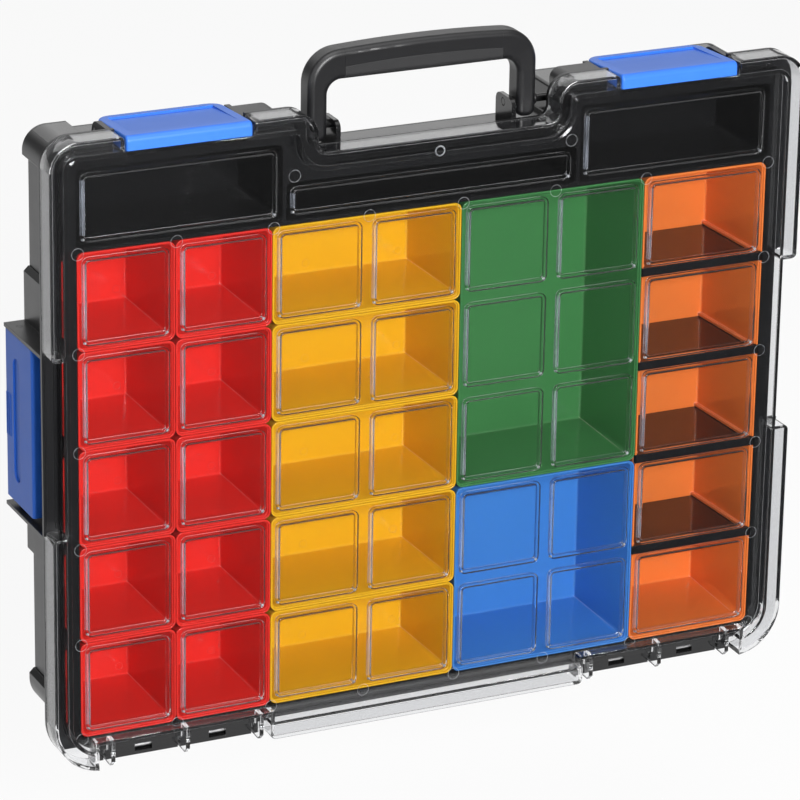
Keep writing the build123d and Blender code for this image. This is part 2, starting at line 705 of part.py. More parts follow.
for side, name in ((-1, "left"), (1, "right")):
    middle = side * latch_middle
    with BuildPart() as latch:
        with BuildSketch(Plane.YZ.offset(middle)) as latch_side:
            with BuildLine():
                Polyline((y_of(0), latch_bottom), (y_of(0), case_top),
                         (y_of(latch_back), latch_top_at(latch_back)),
                         (y_of(latch_back), latch_top_at(latch_back) - latch_skin),
                         (y_of(latch_axis_depth), latch_top_at(latch_axis_depth) - latch_skin),
                         (y_of(latch_axis_depth), latch_axis_height - latch_barrel_radius + overlap),
                         (y_of(web_depth), latch_bottom), close=True)
            make_face()
            fillet(latch_side.vertices().sort_by(Axis.X)[:2].sort_by(Axis.Y)[-1:], latch_front_radius)
            with Locations((y_of(latch_axis_depth), latch_axis_height)):
                Circle(latch_barrel_radius)
        extrude(amount=latch_width / 2, both=True)
        # Round corners at the back, and soft edges along the ends and the back of the top.
        with BuildSketch(Plane.XY.offset(plan_low)) as latch_plan:
            rectangle_at(middle - latch_width / 2, middle + latch_width / 2, y_of(0), y_of(latch_back))
            fillet(latch_plan.vertices().group_by(Axis.Y)[-1], latch_back_radius)
        extrude(amount=case_top + past - plan_low, mode=Mode.INTERSECT)
        tops = [e for e in latch.edges() if e.center().Z > latch_top_at(latch_back) - latch_skin / 2
                and not (near(e.center().X, [middle]) and e.center().Y < y_of(latch_axis_depth))]
        fillet(tops, latch_edge_radius)
        # Hollow between the front wall and the pivot.
        with BuildSketch(Plane.YZ.offset(middle)):
            with BuildLine():
                Polyline((y_of(latch_front_wall), latch_bottom - past),
                         (y_of(latch_front_wall), latch_top_at(latch_front_wall) - latch_skin),
                         (y_of(web_depth), latch_top_at(web_depth) - latch_skin),
                         (y_of(web_depth), latch_bottom - past), close=True)
            make_face()
        extrude(amount=latch_width / 2 - latch_side_wall, both=True, mode=Mode.SUBTRACT)
        # Shallow panel in the top that runs out towards the front.
        with BuildSketch(Plane.YZ.offset(middle)):
            with BuildLine():
                Polyline((y_of(latch_panel_front), latch_top_at(latch_panel_front)),
                         (y_of(latch_panel_front), case_top + past),
                         (y_of(latch_panel_back), case_top + past),
                         (y_of(latch_panel_back), latch_top_at(latch_panel_back) - latch_panel_drop),
                         close=True)
            make_face()
        extrude(amount=latch_width / 2 - latch_panel_margin, both=True, mode=Mode.SUBTRACT)
        rod_at(middle - latch_width, middle + latch_width, latch_axis_depth, latch_axis_height,
               latch_pin_radius + pin_fit, Mode.SUBTRACT)
    export(latch, f"{name}_latch")
    with BuildPart() as latch_pin:
        pin_half = latch_width / 2 + ear_side_gap + ear_thickness
        rod_at(middle - pin_half, middle + pin_half, latch_axis_depth, latch_axis_height, latch_pin_radius)
    export(latch_pin, f"{name}_latch_pin")

# Folding handle: an arched frame whose middle is a slim core between an upper cover and a lower insert.
handle_foot_height = handle_axis_height - handle_foot
handle_shoulder = handle_axis_height + handle_rise
bar_low = handle_shoulder - handle_bar
seam_height = bar_low + grip_insert_height

with BuildSketch() as handle_face:
    with BuildLine():
        Polyline((-handle_outer, handle_shoulder), (-handle_outer, handle_foot_height),
                 (handle_outer, handle_foot_height), (handle_outer, handle_shoulder))
        ThreePointArc((handle_outer, handle_shoulder), (0, handle_shoulder + handle_arch),
                      (-handle_outer, handle_shoulder))
    make_face()
    fillet(handle_face.vertices().group_by(Axis.Y)[-1], handle_outer_radius)
    rectangle_at(-handle_inner, handle_inner, handle_foot_height - past, bar_low, mode=Mode.SUBTRACT)
    fillet([v for v in handle_face.vertices() if near(v.Y, [bar_low])], handle_inner_radius)
    fillet(handle_face.vertices().group_by(Axis.Y)[0], handle_foot_radius)

with BuildPart() as handle_whole:
    with BuildSketch(at_depth(handle_front)):
        add(handle_face.sketch)
    extrude(amount=-handle_thickness)
    fillet(handle_whole.edges().group_by(Axis.Y)[0], handle_edge_radius)
    fillet(handle_whole.edges().group_by(Axis.Y)[-1], handle_edge_radius)

core_low = bar_low + core_margin
core_high = handle_shoulder - core_margin
with BuildPart() as handle_core:
    box_at(-grip_half_length - overlap, grip_half_length + overlap, handle_front + core_margin,
           handle_back - core_margin, core_low, core_high)

with BuildPart() as handle_frame:
    add(handle_whole.part)
    box_at(-grip_half_length, grip_half_length, handle_front - past, handle_back + past, bar_low - past,
           handle_shoulder + handle_arch + past, mode=Mode.SUBTRACT)
    add(handle_core.part)
    rod_at(-handle_outer - past, handle_outer + past, handle_axis_depth, handle_axis_height,
           handle_pin_radius + pin_fit, Mode.SUBTRACT)
export(handle_frame, "handle_frame")

# The seam between cover and insert is arched a little less than the top.
with BuildSketch() as insert_zone:
    with BuildLine():
        Polyline((-grip_half_length, seam_height), (-grip_half_length, bar_low - past),
                 (grip_half_length, bar_low - past), (grip_half_length, seam_height))
        ThreePointArc((grip_half_length, seam_height), (0, seam_height + seam_arch),
                      (-grip_half_length, seam_height))
    make_face()

with BuildPart() as grip_insert:
    with BuildSketch(at_depth(handle_front - past)):
        add(insert_zone.sketch)
    extrude(amount=-(handle_thickness + 2 * past))
    add(handle_whole.part, mode=Mode.INTERSECT)
    add(handle_core.part, mode=Mode.SUBTRACT)
export(grip_insert, "handle_grip_insert")

with BuildPart() as grip_cover:
    box_at(-grip_half_length, grip_half_length, handle_front - past, handle_back + past, bar_low + past,
           handle_shoulder + handle_arch + past)
    add(handle_whole.part, mode=Mode.INTERSECT)
    with BuildSketch(at_depth(handle_front - past)):
        add(insert_zone.sketch)
    extrude(amount=-(handle_thickness + 2 * past), mode=Mode.SUBTRACT)
    add(handle_core.part, mode=Mode.SUBTRACT)
export(grip_cover, "handle_grip_cover")

for side, name in ((-1, "left"), (1, "right")):
    with BuildPart() as handle_pin:
        x_near, x_far = sorted((side * handle_ear_inner, side * (block_inner + pin_overhang)))
        rod_at(x_near, x_far, handle_axis_depth, handle_axis_height, handle_pin_radius)
        fillet(handle_pin.edges(), handle_pin_edge)
    export(handle_pin, f"{name}_handle_pin")

# Side coupler: a hollow panel with a front lip, turning on an upright pin between the two plates.
coupler_face = -half_width + coupler_face_inset
with BuildPart() as coupler:
    with BuildSketch(Plane.XY.offset(coupler_low)) as coupler_plan:
        x_inner = coupler_face + coupler_lip
        tail = y_of(coupler_axis_depth + coupler_tail)
        with BuildLine():
            Polyline((coupler_face, y_of(coupler_front)), (x_inner, y_of(coupler_front)),
                     (x_inner, tail), (coupler_face, tail), close=True)
        make_face()
        fillet(coupler_plan.vertices().group_by(Axis.Y)[0], coupler_lip_radius)
        with Locations((coupler_axis_x, y_of(coupler_axis_depth))):
            Circle(coupler_barrel_radius)
    extrude(amount=coupler_high - coupler_low)
    box_at(coupler_face + coupler_skin, coupler_axis_x + coupler_barrel_radius, coupler_front + coupler_skin,
           coupler_axis_depth - coupler_barrel_radius - coupler_skin / 2, coupler_low + coupler_skin,
           coupler_high - coupler_skin, mode=Mode.SUBTRACT)
    with Locations((coupler_axis_x, y_of(coupler_axis_depth), coupler_middle)):
        Cylinder(coupler_pin_radius + pin_fit, coupler_length + 2 * past, mode=Mode.SUBTRACT)
    with BuildSketch(Plane.YZ.offset(coupler_face - past)):
        with Locations((y_of(coupler_axis_depth - coupler_slot_distance), coupler_middle)):
            SlotOverall(coupler_slot_length, coupler_slot_width, rotation=90)
    extrude(amount=past + coupler_slot_drop, mode=Mode.SUBTRACT)
    for step in (-1, 0, 1):
        depth = coupler_axis_depth - coupler_rib_distance + step * coupler_rib_pitch
        box_at(-half_width, coupler_face + overlap, depth - coupler_rib_width / 2,
               depth + coupler_rib_width / 2, coupler_middle - coupler_rib_length / 2,
               coupler_middle + coupler_rib_length / 2)
export(coupler, "side_coupler")

with BuildPart() as coupler_pin:
    pin_low = plate_low - plate_thickness
    pin_high = plate_high + plate_thickness
    with Locations((coupler_axis_x, y_of(coupler_axis_depth), (pin_low + pin_high) / 2)):
        Cylinder(coupler_pin_radius, pin_high - pin_low)
export(coupler_pin, "side_coupler_pin")


def insert_box(x_low, x_high, z_low, z_high):
    """Open box with tapered walls, seen from the front between the limits of its cells."""
    width = x_high - x_low - box_gap
    height = z_high - z_low - box_gap
    # The plane looks into the case, so its own upward axis points down.
    middle = ((x_low + x_high) / 2, -(z_low + z_high) / 2)
    with BuildPart() as box:
        with BuildSketch(-at_depth(box_front)):
            with Locations(middle):
                RectangleRounded(width, height, box_corner_radius)
        extrude(amount=box_depth, taper=box_taper)
        fillet(box.edges().group_by(Axis.Y)[-1], box_floor_radius)
        inner = box_wall
        with BuildSketch(-at_depth(box_front)):
            with Locations(middle):
                RectangleRounded(width - 2 * inner, height - 2 * inner, box_corner_radius - inner)
        extrude(amount=box_depth - box_floor, taper=box_taper, mode=Mode.SUBTRACT)
        bottom = y_of(box_front + box_depth - box_floor)
        fillet([e for e in box.edges() if near(e.center().Y, [bottom])], box_floor_radius / 2)
        inner = box_wall - box_lip
        with BuildSketch(-at_depth(box_front)):
            with Locations(middle):
                RectangleRounded(width - 2 * inner, height - 2 * inner, box_corner_radius - inner)
        extrude(amount=box_lip_depth, mode=Mode.SUBTRACT)
        fillet(box.edges().group_by(Axis.Y)[0], box_rim_radius)
    return box


for j, (z_low, z_high) in enumerate(row_limits):
    for i in range(red_columns):
        x_low, x_high = column_limits[i]
        export(insert_box(x_low, x_high, z_low, z_high), f"red_box_{j + 1}_{i + 1}")
    export(insert_box(column_limits[2][0], column_limits[3][1], z_low, z_high), f"yellow_box_{j + 1}")

export(insert_box(column_limits[4][0], column_limits[5][1], row_limits[2][0], row_limits[0][1]), "green_box")
export(insert_box(column_limits[4][0], column_limits[5][1], row_limits[4][0], row_limits[3][1]), "blue_box")

# Wide box with ribs in pairs on its side walls, which hold a divider on every row line.
wide_low, wide_high = column_limits[narrow_columns]
divider_heights = [low for low, high in row_limits[:-1]]
rib_back = box_front + box_depth - box_floor
rib_shift = (box_depth - box_floor) * math.tan(math.radians(box_taper))
wall_face = box_gap / 2 + box_wall
slot_half = divider_thickness / 2 + divider_gap


def divider_outline(x_low, x_high, inset_front, inset_back, depth_low, depth_high):
    """Outline in the X-Y plane that narrows towards the back with the box's walls."""
    with BuildSketch() as outline:
        with BuildLine():
            Polyline((x_low + inset_front, y_of(depth_low)), (x_high - inset_front, y_of(depth_low)),
                     (x_high - inset_back, y_of(depth_high)), (x_low + inset_back, y_of(depth_high)),
                     close=True)
        make_face()
    return outline.sketch


rib_start_shift = (divider_rib_start - box_front) * math.tan(math.radians(box_taper))
rib_inner_face = divider_outline(wide_low, wide_high, wall_face + rib_start_shift + divider_rib_proud,
                                 wall_face + rib_shift + divider_rib_proud, divider_rib_start, rib_back)
rib_outer_face = divider_outline(wide_low, wide_high, wall_face + rib_start_shift - overlap,
                                 wall_face + rib_shift - overlap, divider_rib_start, rib_back + overlap)

with BuildPart() as orange:
    add(insert_box(wide_low, wide_high, grid_bottom, grid_top).part)
    for height in divider_heights:
        for side in (-1, 1):
            rib_low = height + side * (slot_half + divider_rib / 2) - divider_rib / 2
            with BuildSketch(Plane.XY.offset(rib_low)):
                add(rib_outer_face)
                add(rib_inner_face, mode=Mode.SUBTRACT)
            extrude(amount=divider_rib)
        # Notch in both side walls for the divider's front bar.
        notch_half = divider_bar_height / 2 + divider_gap
        notch_back = box_front + divider_bar_depth + divider_gap
        box_at(wide_low - past, wide_high + past, box_front - past, notch_back, height - notch_half,
               height + notch_half, mode=Mode.SUBTRACT)
export(orange, "orange_box")

plate_start_shift = divider_bar_depth * math.tan(math.radians(box_taper))
for j, height in enumerate(divider_heights):
    with BuildPart() as divider:
        with BuildSketch(Plane.XY.offset(height - divider_thickness / 2)):
            add(divider_outline(wide_low, wide_high, wall_face + plate_start_shift + divider_gap,
                                wall_face + rib_shift + divider_gap, box_front + divider_bar_depth - overlap,
                                rib_back - divider_gap))
        extrude(amount=divider_thickness)
        bar_end = box_gap + divider_gap
        box_at(wide_low + bar_end, wide_high - bar_end, box_front, box_front + divider_bar_depth,
               height - divider_bar_height / 2, height + divider_bar_height / 2)
        fillet(divider.edges().group_by(Axis.Y)[0], divider_edge_radius)
    export(divider, f"divider_{j + 1}")
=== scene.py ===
# %% [markdown]
# # Assortment case with a clear hinged lid
# The real object is a flat carrying case for small parts. A black base holds open boxes in five
# colours, a clear lid covers them, and two blue latches, a folding handle and a side coupler are
# fitted round the edge. The solids come in as a fixed frame. This lesson gives each of them its
# finish, adds the fine moulded marks, and sets up the studio.

# %% Load the frame
import bpy
import bmesh
import math
from mathutils import Matrix, Vector


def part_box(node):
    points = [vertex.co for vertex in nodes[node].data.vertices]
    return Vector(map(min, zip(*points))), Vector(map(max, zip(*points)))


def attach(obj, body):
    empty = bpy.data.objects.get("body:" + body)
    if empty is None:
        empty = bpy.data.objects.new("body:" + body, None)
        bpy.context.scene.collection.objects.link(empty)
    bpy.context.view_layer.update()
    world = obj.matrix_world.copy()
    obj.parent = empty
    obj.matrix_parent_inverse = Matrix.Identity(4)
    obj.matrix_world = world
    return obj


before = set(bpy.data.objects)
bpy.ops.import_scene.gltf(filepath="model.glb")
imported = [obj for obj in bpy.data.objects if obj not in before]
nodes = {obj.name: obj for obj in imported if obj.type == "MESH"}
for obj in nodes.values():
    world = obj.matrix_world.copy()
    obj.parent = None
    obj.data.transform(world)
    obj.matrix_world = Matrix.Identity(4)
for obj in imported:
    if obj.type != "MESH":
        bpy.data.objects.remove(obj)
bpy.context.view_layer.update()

# %% [markdown]
# ## The camera
# The photograph is taken with a long lens from the left and above, so the upright edges lean
# together only a little. A camera can be aimed with a constraint, but a fixed place and three
# angles repeat exactly, so the camera gets its azimuth, its elevation and a slight roll.

# %% Place the camera
MM = 0.001
SENSOR = 36.0
LENS = 208.50
CAMERA_PLACE = Vector((-1.00691, -2.13544, 1.08329))
AZIMUTH = math.radians(25.148)
ELEVATION = math.radians(21.094)
ROLL = math.radians(0.966)


def place_camera():
    camera = bpy.data.cameras.new("camera")
    camera.sensor_width = SENSOR
    camera.lens = LENS
    camera.clip_start = 0.05
    camera.clip_end = 30.0
    holder = bpy.data.objects.new("camera", camera)
    bpy.context.scene.collection.objects.link(holder)
    ahead = Vector((math.sin(AZIMUTH) * math.cos(ELEVATION), math.cos(AZIMUTH) * math.cos(ELEVATION),
                    -math.sin(ELEVATION)))
    right = ahead.cross(Vector((0, 0, 1))).normalized()
    up = right.cross(ahead)
    rolled_right = right * math.cos(ROLL) + up * math.sin(ROLL)
    rolled_up = up * math.cos(ROLL) - right * math.sin(ROLL)
    turn = Matrix((rolled_right, rolled_up, -ahead)).transposed().to_4x4()
    holder.matrix_world = Matrix.Translation(CAMERA_PLACE) @ turn
    bpy.context.scene.camera = holder
    return holder


camera = place_camera()
bpy.context.scene.view_settings.view_transform = "Standard"
print("camera at", tuple(round(v, 4) for v in camera.location))

# %% [markdown]
# ## Small helpers for materials
# Every finish is a tree of nodes. A few short helpers keep the trees readable: one adds a node and
# sets its plain values, one makes a node group with named sockets, one empties a tree that Blender
# has filled, and one starts a material with a Principled shader. The last one makes a plain mesh.

# %% Helpers for node trees and meshes
def add_node(tree, kind, **values):
    node = tree.nodes.new(kind)
    for name, value in values.items():
        if hasattr(node, name):
            setattr(node, name, value)
        else:
            node.inputs[name.replace("_", " ")].default_value = value
    return node


def link(tree, start, end):
    tree.links.new(start, end)


def new_group(name, inputs, outputs):
    tree = bpy.data.node_groups.new(name, "ShaderNodeTree")
    for label, kind, value in inputs:
        socket = tree.interface.new_socket(label, in_out="INPUT", socket_type=kind)
        socket.default_value = value
    for label, kind in outputs:
        tree.interface.new_socket(label, in_out="OUTPUT", socket_type=kind)
    return tree, tree.nodes.new("NodeGroupInput"), tree.nodes.new("NodeGroupOutput")


def place_group(tree, group, **values):
    node = tree.nodes.new("ShaderNodeGroup")
    node.node_tree = group
    for name, value in values.items():
        node.inputs[name.replace("_", " ")].default_value = value
    return node


def empty_material(name):
    material = bpy.data.materials.new(name)
    material.use_nodes = True
    material.node_tree.nodes.clear()
    return material, material.node_tree, material.node_tree.nodes.new("ShaderNodeOutputMaterial")


def new_material(name):
    material, tree, output = empty_material(name)
    shader = tree.nodes.new("ShaderNodeBsdfPrincipled")
    link(tree, shader.outputs["BSDF"], output.inputs["Surface"])
    return material, tree, shader


def clear_view(tree, path):
    """One for a ray that has passed clear plastic and has met no mirror on its way, else zero."""
    unmirrored = add_node(tree, "ShaderNodeMath", operation="LESS_THAN")
    link(tree, path.outputs["Glossy Depth"], unmirrored.inputs[0])
    unmirrored.inputs[1].default_value = HALF
    both = add_node(tree, "ShaderNodeMath", operation="MULTIPLY")
    link(tree, path.outputs["Is Transmission Ray"], both.inputs[0])
    link(tree, unmirrored.outputs[0], both.inputs[1])
    return both.outputs[0]


def add_mesh(name, points, faces, material):
    mesh = bpy.data.meshes.new(name)
    mesh.from_pydata(points, [], faces)
    mesh.materials.append(material)
    piece = bpy.data.objects.new(name, mesh)
    bpy.context.scene.collection.objects.link(piece)
    return piece


def hide_from_eye(card):
    """Leave a studio card to glossy and transmitted rays only."""
    card.visible_camera = False
    card.visible_diffuse = False
    card.visible_shadow = False


WHITE = (1, 1, 1, 1)
HALF = 0.5
print("material helpers ready")

# %% [markdown]
# ## The stage
# A plain pale floor runs far behind the case and fills the picture alone. It lies lower than the
# case by the depth that the open lid reaches, so the lid stays in sight when it hangs down. To keep
# the floor white without pouring light on the case, what the camera sees of it is mostly its own even
# white, and the rest is lit and keeps the soft shadow.

# %% Build the floor
FLOOR_SIZE = 24.0
FLOOR_LEVEL = -0.13
FLOOR_COLOUR = (0.96, 0.96, 0.96, 1)
FLOOR_OWN_WHITE = 0.88


def build_floor():
    material, tree, output = empty_material("floor paper")
    lit = add_node(tree, "ShaderNodeBsdfDiffuse", Color=FLOOR_COLOUR)
    white = add_node(tree, "ShaderNodeEmission", Color=WHITE, Strength=1.0)
    path = tree.nodes.new("ShaderNodeLightPath")
    seen = add_node(tree, "ShaderNodeMath", operation="MAXIMUM")
    link(tree, path.outputs["Is Camera Ray"], seen.inputs[0])
    link(tree, path.outputs["Is Glossy Ray"], seen.inputs[1])
    through = add_node(tree, "ShaderNodeMath", operation="MAXIMUM")
    link(tree, seen.outputs[0], through.inputs[0])
    link(tree, clear_view(tree, path), through.inputs[1])
    share = add_node(tree, "ShaderNodeMath", operation="MULTIPLY")
    link(tree, through.outputs[0], share.inputs[0])
    share.inputs[1].default_value = FLOOR_OWN_WHITE
    mix = tree.nodes.new("ShaderNodeMixShader")
    link(tree, share.outputs[0], mix.inputs[0])
    link(tree, lit.outputs[0], mix.inputs[1])
    link(tree, white.outputs[0], mix.inputs[2])
    link(tree, mix.outputs[0], output.inputs["Surface"])
    half = FLOOR_SIZE / 2
    corners = [(-half, -half), (half, -half), (half, half), (-half, half)]
    floor = add_mesh("floor", [(x, y, FLOOR_LEVEL) for x, y in corners], [(0, 1, 2, 3)], material)


build_floor()
print("floor", FLOOR_SIZE, "m wide")

# %% [markdown]
# ## The light
# A product like this is lit by large soft boxes: the strongest stands high in front, a weaker one
# hangs overhead, and a wide one behind glances off the upward faces. Area lamps give that light, and
# an even grey world fills what they leave.

# %% Set the world and the lamps
WORLD_FILL = 0.19
WORLD_SEEN = 0.85
FRONT_LAMP = {"place": (-0.2, -2.5, 1.1), "target": (0, 0, 0.18), "width": 0.9, "height": 0.9, "power": 94}
TOP_LAMP = {"place": (-0.25, -0.5, 2.1), "target": (0, 0, 0.2), "width": 1.6, "height": 1.2, "power": 14}
BACK_LAMP = {"place": (0.3, 1.9, 1.3), "target": (0, 0, 0.35), "width": 2.4, "height": 1.0, "power": 9}


def light_world():
    world = bpy.data.worlds.new("studio")
    bpy.context.scene.world = world
    world.use_nodes = True
    tree = world.node_tree
    tree.nodes.clear()
    output = tree.nodes.new("ShaderNodeOutputWorld")
    fill = add_node(tree, "ShaderNodeBackground", Color=WHITE, Strength=WORLD_FILL)
    seen = add_node(tree, "ShaderNodeBackground", Color=WHITE, Strength=WORLD_SEEN)
    path = tree.nodes.new("ShaderNodeLightPath")
    mirror = add_node(tree, "ShaderNodeMath", operation="MAXIMUM")
    link(tree, path.outputs["Is Camera Ray"], mirror.inputs[0])
    link(tree, clear_view(tree, path), mirror.inputs[1])
    mix = tree.nodes.new("ShaderNodeMixShader")
    link(tree, mirror.outputs[0], mix.inputs[0])
    link(tree, fill.outputs[0], mix.inputs[1])
    link(tree, seen.outputs[0], mix.inputs[2])
    link(tree, mix.outputs[0], output.inputs["Surface"])


def soft_box(name, place, target, width, height, power):
    lamp = bpy.data.lights.new(name, "AREA")
    lamp.shape = "RECTANGLE"
    lamp.size = width
    lamp.size_y = height
    lamp.energy = power
    holder = bpy.data.objects.new(name, lamp)
    bpy.context.scene.collection.objects.link(holder)
    way = Vector(target) - Vector(place)
    turn = way.to_track_quat("-Z", "Y").to_matrix().to_4x4()
    holder.matrix_world = Matrix.Translation(Vector(place)) @ turn
    return holder


light_world()
lamps = [soft_box("front light", **FRONT_LAMP), soft_box("top light", **TOP_LAMP),
         soft_box("back light", **BACK_LAMP)]
print("lamps:", [lamp.name for lamp in lamps])

# %% [markdown]
# ## A black card in front
# Clear plastic mirrors whatever lies in front of it, and a white floor there would veil the boxes.
# Studios lay a black card in front of such an object. This card is seen only in reflections and
# through the plastic, so it neither shows in the picture nor shades the floor. It lies at the foot of
# the case, above the floor.

# %% Lay the black card
CARD_LIMITS = (-2.5, 3.5, -4.0, -0.06)
CARD_HEIGHT = 0.001
CARD_BLACK = (0.02, 0.02, 0.02, 1)


def lay_card():
    left, right, front, back = CARD_LIMITS
    corners = [(left, front), (right, front), (right, back), (left, back)]
    material, tree, shader = new_material("black card")
    shader.inputs["Base Color"].default_value = CARD_BLACK
    shader.inputs["Roughness"].default_value = 1.0
    card = add_mesh("black_card", [(x, y, CARD_HEIGHT) for x, y in corners], [(0, 1, 2, 3)], material)
    hide_from_eye(card)


lay_card()
print("card", CARD_LIMITS)

# %% [markdown]
# ## White cards for the edges
# A long white card on the left and one overhead draw bright lines along every rounded edge, as the
# large panels of a studio do. Only glossy and transmitted rays meet them, so they add no light to
# the flat faces.

# %% Hang the white cards
CARD_GLOW = 1.5
LEFT_CARD = [(-1.7, -2.3, 0.05), (-1.7, 0.2, 0.05), (-1.7, 0.2, 2.3), (-1.7, -2.3, 2.3)]
TOP_CARD = [(-1.6, -1.7, 2.5), (1.4, -1.7, 2.5), (1.4, 0.5, 2.5), (-1.6, 0.5, 2.5)]


def hang_card(name, corners):
    material, tree, output = empty_material(name)
    glow = add_node(tree, "ShaderNodeEmission", Color=WHITE, Strength=CARD_GLOW)
    link(tree, glow.outputs[0], output.inputs["Surface"])
    material.cycles.emission_sampling = "NONE"
    card = add_mesh(name, corners, [(0, 1, 2, 3)], material)
    hide_from_eye(card)
    return card


white_cards = [hang_card("left_white_card", LEFT_CARD), hang_card("top_white_card", TOP_CARD)]
print("white cards:", [card.name for card in white_cards])

# %% [markdown]
# ## Shared effect: moulded skin
# Injection moulds leave a skin: fine spark grain on the black and blue parts, and a slow waviness
# where thick plastic has shrunk. One node group makes both and rounds the sharp edges of the solids
# in the shading. It gives a normal and a slightly uneven roughness.

# %% Group for the moulded skin
def build_moulded_skin():
    tree, start, end = new_group(
        "moulded skin",
        [("Grain Size", "NodeSocketFloat", 0.0006), ("Grain Depth", "NodeSocketFloat", 0.00002),
         ("Wave Depth", "NodeSocketFloat", 0.00004), ("Roughness", "NodeSocketFloat", 0.4),
         ("Roughness Spread", "NodeSocketFloat", 0.08), ("Edge Radius", "NodeSocketFloat", 0.00045)],
        [("Normal", "NodeSocketVector"), ("Roughness", "NodeSocketFloat")])
    place = tree.nodes.new("ShaderNodeTexCoord")
    edge = add_node(tree, "ShaderNodeBevel", samples=4)
    link(tree, start.outputs["Edge Radius"], edge.inputs["Radius"])
    scale = add_node(tree, "ShaderNodeMath", operation="DIVIDE")
    scale.inputs[0].default_value = 1.0
    link(tree, start.outputs["Grain Size"], scale.inputs[1])
    grain = add_node(tree, "ShaderNodeTexNoise", Detail=2.0, Roughness=0.6)
    link(tree, place.outputs["Object"], grain.inputs["Vector"])
    link(tree, scale.outputs[0], grain.inputs["Scale"])
    wave = add_node(tree, "ShaderNodeTexNoise", Scale=38.0, Detail=1.0)
    link(tree, place.outputs["Object"], wave.inputs["Vector"])
    grain_bump = add_node(tree, "ShaderNodeBump", Strength=1.0)
    link(tree, grain.outputs["Fac"], grain_bump.inputs["Height"])
    link(tree, start.outputs["Grain Depth"], grain_bump.inputs["Distance"])
    wave_bump = add_node(tree, "ShaderNodeBump", Strength=1.0)
    link(tree, wave.outputs["Fac"], wave_bump.inputs["Height"])
    link(tree, start.outputs["Wave Depth"], wave_bump.inputs["Distance"])
    link(tree, edge.outputs["Normal"], wave_bump.inputs["Normal"])
    link(tree, wave_bump.outputs["Normal"], grain_bump.inputs["Normal"])
    cloud = add_node(tree, "ShaderNodeTexNoise", Scale=85.0, Detail=4.0)
    link(tree, place.outputs["Object"], cloud.inputs["Vector"])
    centred = add_node(tree, "ShaderNodeMath", operation="SUBTRACT")
    link(tree, cloud.outputs["Fac"], centred.inputs[0])
    centred.inputs[1].default_value = HALF
    uneven = add_node(tree, "ShaderNodeMath", operation="MULTIPLY_ADD", use_clamp=True)
    link(tree, centred.outputs[0], uneven.inputs[0])
    link(tree, start.outputs["Roughness Spread"], uneven.inputs[1])
    link(tree, start.outputs["Roughness"], uneven.inputs[2])
    link(tree, grain_bump.outputs["Normal"], end.inputs["Normal"])
    link(tree, uneven.outputs[0], end.inputs["Roughness"])
    return tree


moulded_skin = build_moulded_skin()
print("group:", moulded_skin.name, [s.name for s in moulded_skin.interface.items_tree])

# %% [markdown]
# ## Shared effect: uneven colour and dust
# Dyed plastic is never one flat colour: the pigment clouds a little with the flow of the melt, and
# fine dust settles on upward faces. This group takes the plastic's colour and returns both effects
# in one colour.

# %% Group for the uneven colour
DUST_COLOUR = (0.55, 0.54, 0.52, 1)


def build_plastic_colour():
    tree, start, end = new_group(
        "plastic colour",
        [("Color", "NodeSocketColor", (0.5, 0.5, 0.5, 1)), ("Cloud", "NodeSocketFloat", 0.06),
         ("Dust", "NodeSocketFloat", 0.02)],
        [("Color", "NodeSocketColor")])
    place = tree.nodes.new("ShaderNodeTexCoord")
    stretch = tree.nodes.new("ShaderNodeMapping")
    stretch.inputs["Scale"].default_value = (1.0, 0.35, 1.0)
    link(tree, place.outputs["Object"], stretch.inputs["Vector"])
    flow = add_node(tree, "ShaderNodeTexNoise", Scale=26.0, Detail=3.0, Distortion=0.6)
    link(tree, stretch.outputs["Vector"], flow.inputs["Vector"])
    centred = add_node(tree, "ShaderNodeMath", operation="SUBTRACT")
    link(tree, flow.outputs["Fac"], centred.inputs[0])
    centred.inputs[1].default_value = HALF
    value = add_node(tree, "ShaderNodeMath", operation="MULTIPLY_ADD")
    link(tree, centred.outputs[0], value.inputs[0])
    link(tree, start.outputs["Cloud"], value.inputs[1])
    value.inputs[2].default_value = 1.0
    tone = tree.nodes.new("ShaderNodeHueSaturation")
    link(tree, start.outputs["Color"], tone.inputs["Color"])
    link(tree, value.outputs[0], tone.inputs["Value"])
    shape = tree.nodes.new("ShaderNodeNewGeometry")
    parts = tree.nodes.new("ShaderNodeSeparateXYZ")
    link(tree, shape.outputs["Normal"], parts.inputs[0])
    specks = add_node(tree, "ShaderNodeTexNoise", Scale=900.0, Detail=3.0)
    link(tree, place.outputs["Object"], specks.inputs["Vector"])
    upward = add_node(tree, "ShaderNodeMath", operation="MAXIMUM")
    link(tree, parts.outputs["Z"], upward.inputs[0])
    upward.inputs[1].default_value = 0.0
    settled = add_node(tree, "ShaderNodeMath", operation="MULTIPLY")
    link(tree, upward.outputs[0], settled.inputs[0])
    link(tree, specks.outputs["Fac"], settled.inputs[1])
    amount = add_node(tree, "ShaderNodeMath", operation="MULTIPLY", use_clamp=True)
    link(tree, settled.outputs[0], amount.inputs[0])
    link(tree, start.outputs["Dust"], amount.inputs[1])
    mix = add_node(tree, "ShaderNodeMix", data_type="RGBA")
    link(tree, amount.outputs[0], mix.inputs["Factor"])
    link(tree, tone.outputs["Color"], mix.inputs[6])
    mix.inputs[7].default_value = DUST_COLOUR
    link(tree, mix.outputs[2], end.inputs["Color"])
    return tree


plastic_colour = build_plastic_colour()
print("group:", plastic_colour.name)

# %% [markdown]
# ## Coloured and black plastics
# All opaque parts are moulded plastic and differ in colour, gloss and grain. The base, the handle,
# the latches and the coupler have a fine grain outside, and the base is polished inside. One function
# builds such a material from its own values.

